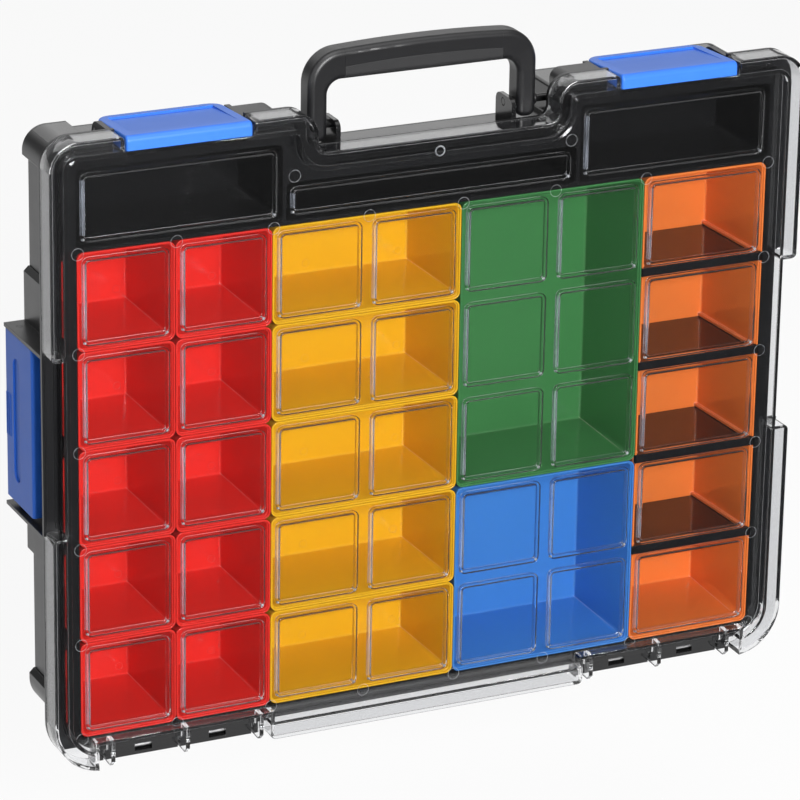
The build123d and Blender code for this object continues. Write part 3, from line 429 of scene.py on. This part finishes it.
# %% Opaque plastics
RIM_HALF_WIDTH = 211.8 * MM
RIM_TOP = 347.3 * MM
FRAME_BACK = -24.7 * MM
POCKET_HALF_WIDTH = 202.9 * MM
POCKET_BACK = 33.7 * MM
POLISH_ROUGHNESS = 0.13
POLISH_GRAIN = 0.000002
POLISH_COLOUR = (0.0075, 0.0075, 0.0080, 1)
PLASTIC_IOR = 1.49
SHELL_EDGE = 0.00045
SHELL_SPREAD = 0.08
COUPLER_SPECULAR = 0.2


def inside_mask(tree):
    """One on the polished front frame and in the pockets of the base, zero on its grained outside."""
    place = tree.nodes.new("ShaderNodeTexCoord")
    parts = tree.nodes.new("ShaderNodeSeparateXYZ")
    link(tree, place.outputs["Object"], parts.inputs[0])
    across = add_node(tree, "ShaderNodeMath", operation="ABSOLUTE")
    link(tree, parts.outputs["X"], across.inputs[0])
    tests = []
    for output, limit in ((across.outputs[0], RIM_HALF_WIDTH), (parts.outputs["Y"], FRAME_BACK),
                          (across.outputs[0], POCKET_HALF_WIDTH), (parts.outputs["Y"], POCKET_BACK),
                          (parts.outputs["Z"], RIM_TOP)):
        test = add_node(tree, "ShaderNodeMath", operation="LESS_THAN")
        link(tree, output, test.inputs[0])
        test.inputs[1].default_value = limit
        tests.append(test)

    def combine(first, second, operation):
        both = add_node(tree, "ShaderNodeMath", operation=operation)
        link(tree, first.outputs[0], both.inputs[0])
        link(tree, second.outputs[0], both.inputs[1])
        return both

    frame_part = combine(tests[0], tests[1], "MULTIPLY")
    pocket_part = combine(tests[2], tests[3], "MULTIPLY")
    return combine(combine(frame_part, pocket_part, "MAXIMUM"), tests[4], "MULTIPLY").outputs[0]


def polish_inside(material):
    """Blend a grained plastic towards a polished one inside the base."""
    tree = material.node_tree
    mask = inside_mask(tree)
    groups = {node.node_tree.name: node for node in tree.nodes if node.type == "GROUP"}
    skin, tint = groups["moulded skin"], groups["plastic colour"]
    for socket, polished in ((skin.inputs["Roughness"], POLISH_ROUGHNESS),
                             (skin.inputs["Grain Depth"], POLISH_GRAIN)):
        blend = add_node(tree, "ShaderNodeMapRange", To_Min=socket.default_value, To_Max=polished)
        link(tree, mask, blend.inputs["Value"])
        link(tree, blend.outputs["Result"], socket)
    mix = add_node(tree, "ShaderNodeMix", data_type="RGBA")
    link(tree, mask, mix.inputs["Factor"])
    mix.inputs[6].default_value = tint.inputs["Color"].default_value
    mix.inputs[7].default_value = POLISH_COLOUR
    link(tree, mix.outputs[2], tint.inputs["Color"])


def make_plastic(name, colour, roughness, grain_size, grain_depth, wave_depth, cloud, dust,
                 edge=SHELL_EDGE, spread=SHELL_SPREAD):
    material, tree, shader = new_material(name)
    skin = place_group(tree, moulded_skin, Grain_Size=grain_size, Grain_Depth=grain_depth,
                       Wave_Depth=wave_depth, Roughness=roughness, Roughness_Spread=spread,
                       Edge_Radius=edge)
    tint = place_group(tree, plastic_colour, Color=(*colour, 1), Cloud=cloud, Dust=dust)
    link(tree, tint.outputs["Color"], shader.inputs["Base Color"])
    link(tree, skin.outputs["Roughness"], shader.inputs["Roughness"])
    link(tree, skin.outputs["Normal"], shader.inputs["Normal"])
    shader.inputs["IOR"].default_value = PLASTIC_IOR
    return material


black_shell = make_plastic("black shell plastic", (0.007, 0.007, 0.008), 0.34, 0.0007, 0.00003, 0.00005,
                           0.25, 0.02)
polish_inside(black_shell)
handle_black = make_plastic("handle plastic", (0.008, 0.008, 0.009), 0.38, 0.0006, 0.00004, 0.00003,
                            0.2, 0.02)
grip_black = make_plastic("soft grip", (0.014, 0.014, 0.015), 0.60, 0.0005, 0.00005, 0.00002, 0.2, 0.03)
divider_black = make_plastic("divider plastic", (0.007, 0.007, 0.008), 0.10, 0.0009, 0.000004, 0.00002,
                             0.2, 0.02)
latch_blue = make_plastic("latch plastic", (0.030, 0.165, 0.70), 0.36, 0.0006, 0.00002, 0.00003, 0.08, 0.02)
coupler_blue = make_plastic("coupler plastic", (0.020, 0.105, 0.48), 0.40, 0.0006, 0.00002, 0.00003,
                            0.08, 0.02)
coupler_blue.node_tree.nodes["Principled BSDF"].inputs["Specular IOR Level"].default_value = COUPLER_SPECULAR
print("black and blue plastics:", len([m for m in bpy.data.materials if "plastic" in m.name]))

# %% [markdown]
# ## Polished box plastics
# The five box colours share one polished surface. Where two faces of a box meet, a painted highlight
# stands in for the light that a rounded corner would reflect: a paler line mixed into the colour there.
# The rims in front of the frame stay without it.

# %% Box plastics with painted corner highlights
BOX_ROUGHNESS = 0.09
BOX_GRAIN = 0.0012
BOX_GRAIN_DEPTH = 0.000002
BOX_WAVE = 0.00002
BOX_DUST = 0.01
BOX_EDGE = 0.0009
BOX_SPREAD = 0.03
# Reach, share, start and tint of the painted highlight lines in the inner corners of the boxes.
HIGHLIGHT_REACH = 0.0011
HIGHLIGHT_SHARE = 0.42
HIGHLIGHT_START = -24.6 * MM
HIGHLIGHT_TINT = (0.5, 0.36, 0.34, 1)


def make_box_plastic(name, colour, cloud):
    material = make_plastic(name, colour, BOX_ROUGHNESS, BOX_GRAIN, BOX_GRAIN_DEPTH, BOX_WAVE, cloud,
                            BOX_DUST, BOX_EDGE, BOX_SPREAD)
    paint_corner_highlights(material)
    return material


def paint_corner_highlights(material):
    """Paint lighter highlight lines into the colour where two faces of a polished box meet."""
    tree = material.node_tree
    shader = tree.nodes["Principled BSDF"]
    colour = shader.inputs["Base Color"].links[0].from_socket
    shape = tree.nodes.new("ShaderNodeNewGeometry")
    round_edge = add_node(tree, "ShaderNodeBevel", samples=4)
    round_edge.inputs["Radius"].default_value = HIGHLIGHT_REACH
    turn = add_node(tree, "ShaderNodeVectorMath", operation="DOT_PRODUCT")
    link(tree, round_edge.outputs["Normal"], turn.inputs[0])
    link(tree, shape.outputs["Normal"], turn.inputs[1])
    line = add_node(tree, "ShaderNodeMapRange", From_Min=0.995, From_Max=0.90, To_Min=0.0,
                    To_Max=HIGHLIGHT_SHARE)
    link(tree, turn.outputs["Value"], line.inputs["Value"])
    place = tree.nodes.new("ShaderNodeTexCoord")
    parts = tree.nodes.new("ShaderNodeSeparateXYZ")
    link(tree, place.outputs["Object"], parts.inputs[0])
    within = add_node(tree, "ShaderNodeMath", operation="GREATER_THAN")
    link(tree, parts.outputs["Y"], within.inputs[0])
    within.inputs[1].default_value = HIGHLIGHT_START
    share = add_node(tree, "ShaderNodeMath", operation="MULTIPLY")
    link(tree, line.outputs["Result"], share.inputs[0])
    link(tree, within.outputs[0], share.inputs[1])
    pale = add_node(tree, "ShaderNodeMix", data_type="RGBA", blend_type="SCREEN")
    pale.inputs["Factor"].default_value = 1.0
    link(tree, colour, pale.inputs[6])
    pale.inputs[7].default_value = HIGHLIGHT_TINT
    mix = add_node(tree, "ShaderNodeMix", data_type="RGBA")
    link(tree, share.outputs[0], mix.inputs["Factor"])
    link(tree, colour, mix.inputs[6])
    link(tree, pale.outputs[2], mix.inputs[7])
    link(tree, mix.outputs[2], shader.inputs["Base Color"])


box_red = make_box_plastic("red box plastic", (0.66, 0.024, 0.018), 0.08)
box_yellow = make_box_plastic("yellow box plastic", (0.69, 0.372, 0.010), 0.05)
box_green = make_box_plastic("green box plastic", (0.042, 0.17, 0.052), 0.08)
box_blue = make_box_plastic("blue box plastic", (0.045, 0.19, 0.52), 0.06)
box_orange = make_box_plastic("orange box plastic", (0.74, 0.18, 0.036), 0.06)
print("plastics:", len([m for m in bpy.data.materials if "plastic" in m.name]))

# %% [markdown]
# ## Clear lid
# The lid is clear polycarbonate. A thin sheet could be faked with a see-through mix, but the bright
# lines of its ridges come partly from real refraction, so the solid gets a glass-like shader; the
# rest of them are painted highlights added further down. Lamps must still reach the boxes below, so
# shadow and diffuse rays pass straight through.

# %% Clear plastic
LID_IOR = 1.46
LID_SPECULAR = 0.15
LID_TINT = (0.90, 0.905, 0.915, 1)
LIGHT_PASSED = (0.93, 0.94, 0.945, 1)


def make_clear_plastic():
    material, tree, shader = new_material("clear lid plastic")
    shader.inputs["Base Color"].default_value = LID_TINT
    shader.inputs["Transmission Weight"].default_value = 1.0
    shader.inputs["IOR"].default_value = LID_IOR
    shader.inputs["Specular IOR Level"].default_value = LID_SPECULAR
    place = tree.nodes.new("ShaderNodeTexCoord")
    haze = add_node(tree, "ShaderNodeTexNoise", Scale=60.0, Detail=5.0)
    link(tree, place.outputs["Object"], haze.inputs["Vector"])
    rough = add_node(tree, "ShaderNodeMapRange", From_Min=0.35, From_Max=0.75, To_Min=0.0, To_Max=0.02)
    link(tree, haze.outputs["Fac"], rough.inputs["Value"])
    link(tree, rough.outputs["Result"], shader.inputs["Roughness"])
    clear = add_node(tree, "ShaderNodeBsdfTransparent", Color=LIGHT_PASSED)
    path = tree.nodes.new("ShaderNodeLightPath")
    straight = add_node(tree, "ShaderNodeMath", operation="MAXIMUM")
    link(tree, path.outputs["Is Shadow Ray"], straight.inputs[0])
    link(tree, path.outputs["Is Diffuse Ray"], straight.inputs[1])
    mix = tree.nodes.new("ShaderNodeMixShader")
    link(tree, straight.outputs[0], mix.inputs[0])
    link(tree, shader.outputs["BSDF"], mix.inputs[1])
    link(tree, clear.outputs["BSDF"], mix.inputs[2])
    link(tree, mix.outputs[0], tree.nodes["Material Output"].inputs["Surface"])
    return material


clear_lid = make_clear_plastic()
print("material:", clear_lid.name)

# %% [markdown]
# ## Frosted marks and painted rib highlights in the lid
# Where an ejector has pushed, the clear plastic is scuffed, so those rings scatter light and show
# as fine pale lines. Their material is the same plastic with a rough, partly milky surface; it also
# paints the bright glints at the lower ends of the ribs. The bands along the ribs are painted highlights
# in a milky plastic, so thin that most of the box behind shines through.

# %% Frosted plastic and painted rib highlights
FROST_CLEAR = 0.35
FROST_DARK = (0.10, 0.10, 0.11, 1)
# The pale end of the frost also gives the painted glints on the ribs.
FROST_AND_GLINT_PALE = (0.60, 0.61, 0.64, 1)
# Colour and streak stretch of the painted highlight bands on the ribs.
RIB_HIGHLIGHT_COLOUR = (0.44, 0.47, 0.54, 1)
HIGHLIGHT_STREAK_STRETCH = (2600.0, 300.0, 55.0)


# Frosted plastic of the ejector rings and the eye, also used for the painted glints on the ribs.
def make_frost_and_glint_plastic():
    material, tree, shader = new_material("frosted lid plastic and painted glints")
    shader.inputs["IOR"].default_value = LID_IOR
    shader.inputs["Transmission Weight"].default_value = FROST_CLEAR
    place = tree.nodes.new("ShaderNodeTexCoord")
    scuff = add_node(tree, "ShaderNodeTexNoise", Scale=700.0, Detail=3.0)
    link(tree, place.outputs["Object"], scuff.inputs["Vector"])
    tone = tree.nodes.new("ShaderNodeValToRGB")
    tone.color_ramp.elements[0].position = 0.35
    tone.color_ramp.elements[0].color = FROST_DARK
    tone.color_ramp.elements[1].position = 0.65
    tone.color_ramp.elements[1].color = FROST_AND_GLINT_PALE
    link(tree, scuff.outputs["Fac"], tone.inputs[0])
    link(tree, tone.outputs[0], shader.inputs["Base Color"])
    rough = add_node(tree, "ShaderNodeMapRange", To_Min=0.2, To_Max=0.5)
    link(tree, scuff.outputs["Fac"], rough.inputs["Value"])
    link(tree, rough.outputs["Result"], shader.inputs["Roughness"])
    return material


# A thin milky skin whose streaked cover and colour paint the highlight bands of the rounded rib tips.
def make_rib_highlight_plastic():
    material, tree, shader = new_material("painted rib highlight plastic")
    shader.inputs["Base Color"].default_value = RIB_HIGHLIGHT_COLOUR
    shader.inputs["IOR"].default_value = LID_IOR
    place = tree.nodes.new("ShaderNodeTexCoord")
    stretch = tree.nodes.new("ShaderNodeMapping")
    stretch.inputs["Scale"].default_value = HIGHLIGHT_STREAK_STRETCH
    link(tree, place.outputs["Object"], stretch.inputs["Vector"])
    streak = add_node(tree, "ShaderNodeTexNoise", Scale=1.0, Detail=3.0)
    link(tree, stretch.outputs["Vector"], streak.inputs["Vector"])
    cover = add_node(tree, "ShaderNodeMapRange", From_Min=0.3, From_Max=0.7, To_Min=0.03, To_Max=0.5)
    link(tree, streak.outputs["Fac"], cover.inputs["Value"])
    link(tree, cover.outputs["Result"], shader.inputs["Alpha"])
    rough = add_node(tree, "ShaderNodeMapRange", To_Min=0.15, To_Max=0.45)
    link(tree, streak.outputs["Fac"], rough.inputs["Value"])
    link(tree, rough.outputs["Result"], shader.inputs["Roughness"])
    return material


frost_and_glint_lid = make_frost_and_glint_plastic()
rib_highlight_plastic = make_rib_highlight_plastic()
print("materials:", frost_and_glint_lid.name, rib_highlight_plastic.name)

# %% [markdown]
# ## Steel pins
# The hinge and latch pins are cut from drawn wire, which has fine lines along its length. A noise
# stretched along the pin makes those lines in the roughness.

# %% Drawn steel
STEEL_COLOUR = (0.62, 0.62, 0.63, 1)
WIRE_STRETCH = (0.05, 1.0, 1.0)


def make_steel():
    material, tree, shader = new_material("drawn steel wire")
    shader.inputs["Base Color"].default_value = STEEL_COLOUR
    shader.inputs["Metallic"].default_value = 1.0
    place = tree.nodes.new("ShaderNodeTexCoord")
    stretch = tree.nodes.new("ShaderNodeMapping")
    stretch.inputs["Scale"].default_value = WIRE_STRETCH
    link(tree, place.outputs["Object"], stretch.inputs["Vector"])
    lines = add_node(tree, "ShaderNodeTexNoise", Scale=6000.0, Detail=2.0)
    link(tree, stretch.outputs["Vector"], lines.inputs["Vector"])
    rough = add_node(tree, "ShaderNodeMapRange", To_Min=0.18, To_Max=0.38)
    link(tree, lines.outputs["Fac"], rough.inputs["Value"])
    link(tree, rough.outputs["Result"], shader.inputs["Roughness"])
    return material


steel = make_steel()
print("material:", steel.name)

# %% [markdown]
# ## Dressing the solids
# Each solid keeps its shape and takes the finish of the plastic that the real piece is moulded in.

# %% Give every solid its finish
FINISHES = {
    "lid": clear_lid, "handle_frame": handle_black, "handle_grip_cover": handle_black,
    "handle_grip_insert": grip_black, "side_coupler": coupler_blue, "green_box": box_green,
    "blue_box": box_blue, "orange_box": box_orange,
}
FINISH_STARTS = {"red_box": box_red, "yellow_box": box_yellow, "divider": divider_black}
FINISH_ENDS = {"_latch": latch_blue, "_hinge_pin": steel, "_latch_pin": steel}


def finish_of(name):
    if name in FINISHES:
        return FINISHES[name]
    for start, finish in FINISH_STARTS.items():
        if name.startswith(start):
            return finish
    for end, finish in FINISH_ENDS.items():
        if name.endswith(end):
            return finish
    return black_shell


for name, solid in nodes.items():
    solid.data.materials.clear()
    solid.data.materials.append(finish_of(name))
print("dressed", len(nodes), "solids")

# %% [markdown]
# ## Round edges on the lid
# The ridges of the real lid have rounded tips, and those catch the light as bright lines. A round
# edge in the shading isn't enough for a clear part, because light must bend in the true shape. A
# bevel modifier rounds the sharp edges of the lid's solid, after a weld that joins its vertices.

# %% Bevel the lid
LID_EDGE = 0.35 * MM
SHARP_ANGLE = math.radians(72)
WELD_REACH = 0.002 * MM


def round_lid_edges():
    lid = nodes["lid"]
    weld = lid.modifiers.new("weld", "WELD")
    weld.merge_threshold = WELD_REACH
    bevel = lid.modifiers.new("round edges", "BEVEL")
    bevel.width = LID_EDGE
    bevel.segments = 2
    bevel.limit_method = "ANGLE"
    bevel.angle_limit = SHARP_ANGLE
    bevel.use_clamp_overlap = False
    bevel.harden_normals = True
    bevel.loop_slide = False
    return lid


rounded = round_lid_edges()
print("lid:", len(rounded.data.vertices), "vertices before the bevel")

# %% [markdown]
# ## Small moulded marks
# Ejector pins leave shallow rings in the clear panel where two cells meet at the edge of the grid,
# and two more beside the notch. Each ring is a fine bead of plastic, swept round a circle and half
# sunk in its face.

# %% Rings of the ejectors
RING_STEPS = 40
BEAD_STEPS = 8
CELL = 55.0 * MM
COLUMNS = 6
ROWS = 5
GRID_LEFT = -202.6 * MM
GRID_TOP = 293.0 * MM
GRID_WIDTH = 405.2 * MM
PANEL_FACE = -29.2 * MM
NOTCH_RING = (81.0 * MM, 320.4 * MM)
EJECTOR_RADIUS = 3.3 * MM
EJECTOR_BEAD = 0.09 * MM


def ring(name, x, y, z, radius, bead, material, body):
    points = []
    faces = []
    for i in range(RING_STEPS):
        turn = math.tau * i / RING_STEPS
        for j in range(BEAD_STEPS):
            roll = math.tau * j / BEAD_STEPS
            reach = radius + bead * math.cos(roll)
            points.append((x + reach * math.cos(turn), y + bead * math.sin(roll),
                           z + reach * math.sin(turn)))
            after, beside = (i + 1) % RING_STEPS, (j + 1) % BEAD_STEPS
            faces.append((i * BEAD_STEPS + j, i * BEAD_STEPS + beside, after * BEAD_STEPS + beside,
                          after * BEAD_STEPS + j))
    piece = add_mesh(name, points, faces, material)
    piece.data.shade_smooth()
    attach(piece, body)
    return piece


def ejector_places():
    places = [(GRID_LEFT + i * CELL, GRID_TOP) for i in range(COLUMNS + 1)]
    places += [(GRID_LEFT + i * CELL, GRID_TOP - ROWS * CELL) for i in range(COLUMNS + 1)]
    places += [(GRID_LEFT, GRID_TOP - j * CELL) for j in range(1, ROWS)]
    places += [(GRID_LEFT + GRID_WIDTH, GRID_TOP - j * CELL) for j in range(ROWS + 1)]
    across, up = NOTCH_RING
    return places + [(-across, up), (across, up)]


rings = [ring(f"ejector_ring_{i + 1}", x, PANEL_FACE, z, EJECTOR_RADIUS, EJECTOR_BEAD, frost_and_glint_lid, "lid")
         for i, (x, z) in enumerate(ejector_places())]
print("ejector rings:", len(rings))

# %% [markdown]
# ## Gates of the insert boxes
# Every red and yellow box keeps the ring of its gate in the lower right corner of the floor of each
# cell, in the plastic of the box.

# %% Rings of the gates
BOX_FLOOR_FACE = 31.7 * MM
GATE_RADIUS = 2.1 * MM
GATE_BEAD = 0.10 * MM
GATE_SHIFT = 17.3 * MM

for j in range(ROWS):
    for i, finish in enumerate((box_red, box_red, box_yellow, box_yellow)):
        middle_x = GRID_LEFT + (i + 0.5) * CELL
        middle_z = GRID_TOP - (j + 0.5) * CELL
        rings.append(ring(f"gate_ring_{j + 1}_{i + 1}", middle_x + GATE_SHIFT, BOX_FLOOR_FACE,
                          middle_z - GATE_SHIFT, GATE_RADIUS, GATE_BEAD, finish, "case"))
print("rings in all:", len(rings))

# %% [markdown]
# ## Painted highlights on the ribs
# The rounded tips of the lid's ribs catch the light as pale bands along their left sides and tips,
# and as a bright glint where the rib turns at its lower end. Both are painted: the bands are thin
# half-round milky skins over the tips, all in one mesh, and the glints are small frosted domes in another.

# %% Painted highlight skins and glint drops on the ribs
LOOP_MARGIN = 3.3 * MM
WINDOW_MARGIN = 2.9 * MM
RIB_WIDTH = 2.0 * MM
RIB_TIP = -24.2 * MM
RIB_ROUND = 0.9 * MM
SKIN_LIFT = 0.03 * MM
SKIN_STEPS = 8
SKIN_INSET = 3.6 * MM
DROP_RADIUS = 0.85 * MM
DROP_STEPS = 12
DROP_POLE = 0.01
DROP_SHIFT = 1.35 * MM
SHELF_HIGH = 295.3 * MM
SIDE_WINDOW = (87.2 * MM, 202.8 * MM)
SIDE_WINDOW_TOP = 338.3 * MM
MIDDLE_WINDOW = 85.0 * MM
MIDDLE_WINDOW_TOP = 316.3 * MM


def rib_loops():
    """Left, right, lower and upper limit of every loop's outer edge."""
    columns = [(GRID_LEFT + i * CELL, GRID_LEFT + (i + 1) * CELL) for i in range(COLUMNS)]
    columns.append((GRID_LEFT + COLUMNS * CELL, GRID_LEFT + GRID_WIDTH))
    loops = [(left + LOOP_MARGIN, right - LOOP_MARGIN, GRID_TOP - (j + 1) * CELL + LOOP_MARGIN,
              GRID_TOP - j * CELL - LOOP_MARGIN) for left, right in columns for j in range(ROWS)]
    near, far = SIDE_WINDOW
    for left, right, top in ((-far, -near, SIDE_WINDOW_TOP), (near, far, SIDE_WINDOW_TOP),
                             (-MIDDLE_WINDOW, MIDDLE_WINDOW, MIDDLE_WINDOW_TOP)):
        loops.append((left + WINDOW_MARGIN, right - WINDOW_MARGIN, SHELF_HIGH + WINDOW_MARGIN,
                      top - WINDOW_MARGIN))
    return loops


def add_strip(points, faces, rows):
    """Join rows of points, all equally long, into a strip of quads."""
    start = len(points)
    width = len(rows[0])
    for row in rows:
        points.extend(row)
    for i in range(len(rows) - 1):
        for j in range(width - 1):
            corner = start + i * width + j
            faces.append((corner, corner + 1, corner + width + 1, corner + width))


# Half-round skins over the rib tips that paint their highlight bands.
def rib_highlight_skins(loops):
    points, faces = [], []
    for left, right, low, high in loops:
        middle = left + RIB_WIDTH / 2
        arc = []
        for j in range(SKIN_STEPS + 1):
            turn = math.pi * j / SKIN_STEPS
            arc.append((middle - (RIB_WIDTH / 2 + SKIN_LIFT) * math.cos(turn),
                        RIB_TIP - RIB_ROUND + (RIB_ROUND + SKIN_LIFT) * math.sin(turn)))
        heights = (low + SKIN_INSET, (low + high) / 2, high - SKIN_INSET)
        add_strip(points, faces, [[(x, y, z) for x, y in arc] for z in heights])
    return points, faces


# Small domes that paint the bright glints at the lower corners of every loop.
def rib_glint_drops(loops):
    points, faces = [], []
    for left, right, low, high in loops:
        for x in (left + DROP_SHIFT, right - DROP_SHIFT):
            rows = []
            for i in range(DROP_STEPS // 2 + 1):
                lift = math.pi * i / (DROP_STEPS // 2)
                flat = DROP_RADIUS * max(math.sin(lift), DROP_POLE)
                rows.append([(x + flat * math.cos(math.tau * j / DROP_STEPS),
                              RIB_TIP - RIB_ROUND + DROP_RADIUS * math.cos(lift),
                              low + DROP_SHIFT + flat * math.sin(math.tau * j / DROP_STEPS))
                             for j in range(DROP_STEPS + 1)])
            add_strip(points, faces, rows)
    return points, faces


loops = rib_loops()
skins = add_mesh("rib_highlight_streaks", *rib_highlight_skins(loops), rib_highlight_plastic)
drops = add_mesh("rib_glint_drops", *rib_glint_drops(loops), frost_and_glint_lid)
for piece in (skins, drops):
    piece.data.shade_smooth()
    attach(piece, "lid")
    print(piece.name, "on", len(loops), "loops has", len(piece.data.polygons), "faces")

# %% [markdown]
# ## Hanging eye and pin heads
# The clear border has a small eye in its upper edge at the middle of the notch. The handle turns on
# two pins, and each pin shows a domed head between the handle's leg and the block beside it.

# %% Eye and pin heads
EYE_RADIUS = 2.6 * MM
EYE_BEAD = 0.38 * MM
EYE_SINK = 0.15 * MM
BORDER_FACE = -35.2 * MM
EYE_PLACE = (0.0, BORDER_FACE + EYE_SINK, 326.2 * MM)
HEAD_RADIUS = 3.6 * MM
HEAD_THICK = 2.4 * MM
HEAD_STEPS = 24
HEAD_RINGS = 6
HEAD_POLE = 0.02
HANDLE_SIDE = 67.4 * MM


def pin_head(name, side):
    """Dome on the pin's axis with its flat face towards the handle's leg."""
    low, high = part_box("left_handle_pin")
    axis_y, axis_z = (low[1] + high[1]) / 2, (low[2] + high[2]) / 2
    points = [(side * HANDLE_SIDE, axis_y, axis_z)]
    for i in range(HEAD_RINGS + 1):
        lift = math.pi / 2 * i / HEAD_RINGS
        for j in range(HEAD_STEPS):
            turn = math.tau * j / HEAD_STEPS
            reach = HEAD_RADIUS * max(math.cos(lift), HEAD_POLE)
            points.append((side * (HANDLE_SIDE + HEAD_THICK * math.sin(lift)),
                           axis_y + reach * math.cos(turn), axis_z + reach * math.sin(turn)))
    faces = []
    for j in range(HEAD_STEPS):
        beside = (j + 1) % HEAD_STEPS
        faces.append((0, 1 + j, 1 + beside))
        for i in range(HEAD_RINGS):
            start, after = 1 + i * HEAD_STEPS, 1 + (i + 1) * HEAD_STEPS
            faces.append((start + j, after + j, after + beside, start + beside))
    faces.append(tuple(1 + HEAD_RINGS * HEAD_STEPS + j for j in range(HEAD_STEPS)))
    piece = add_mesh(name, points, faces, handle_black)
    outward = bmesh.new()
    outward.from_mesh(piece.data)
    bmesh.ops.recalc_face_normals(outward, faces=outward.faces)
    outward.to_mesh(piece.data)
    outward.free()
    piece.data.shade_smooth()
    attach(piece, "case")
    return piece


ring("border_eye", *EYE_PLACE, EYE_RADIUS, EYE_BEAD, frost_and_glint_lid, "lid")
heads = [pin_head("left_pin_head", -1), pin_head("right_pin_head", 1)]
print("pin heads:", [head.name for head in heads])
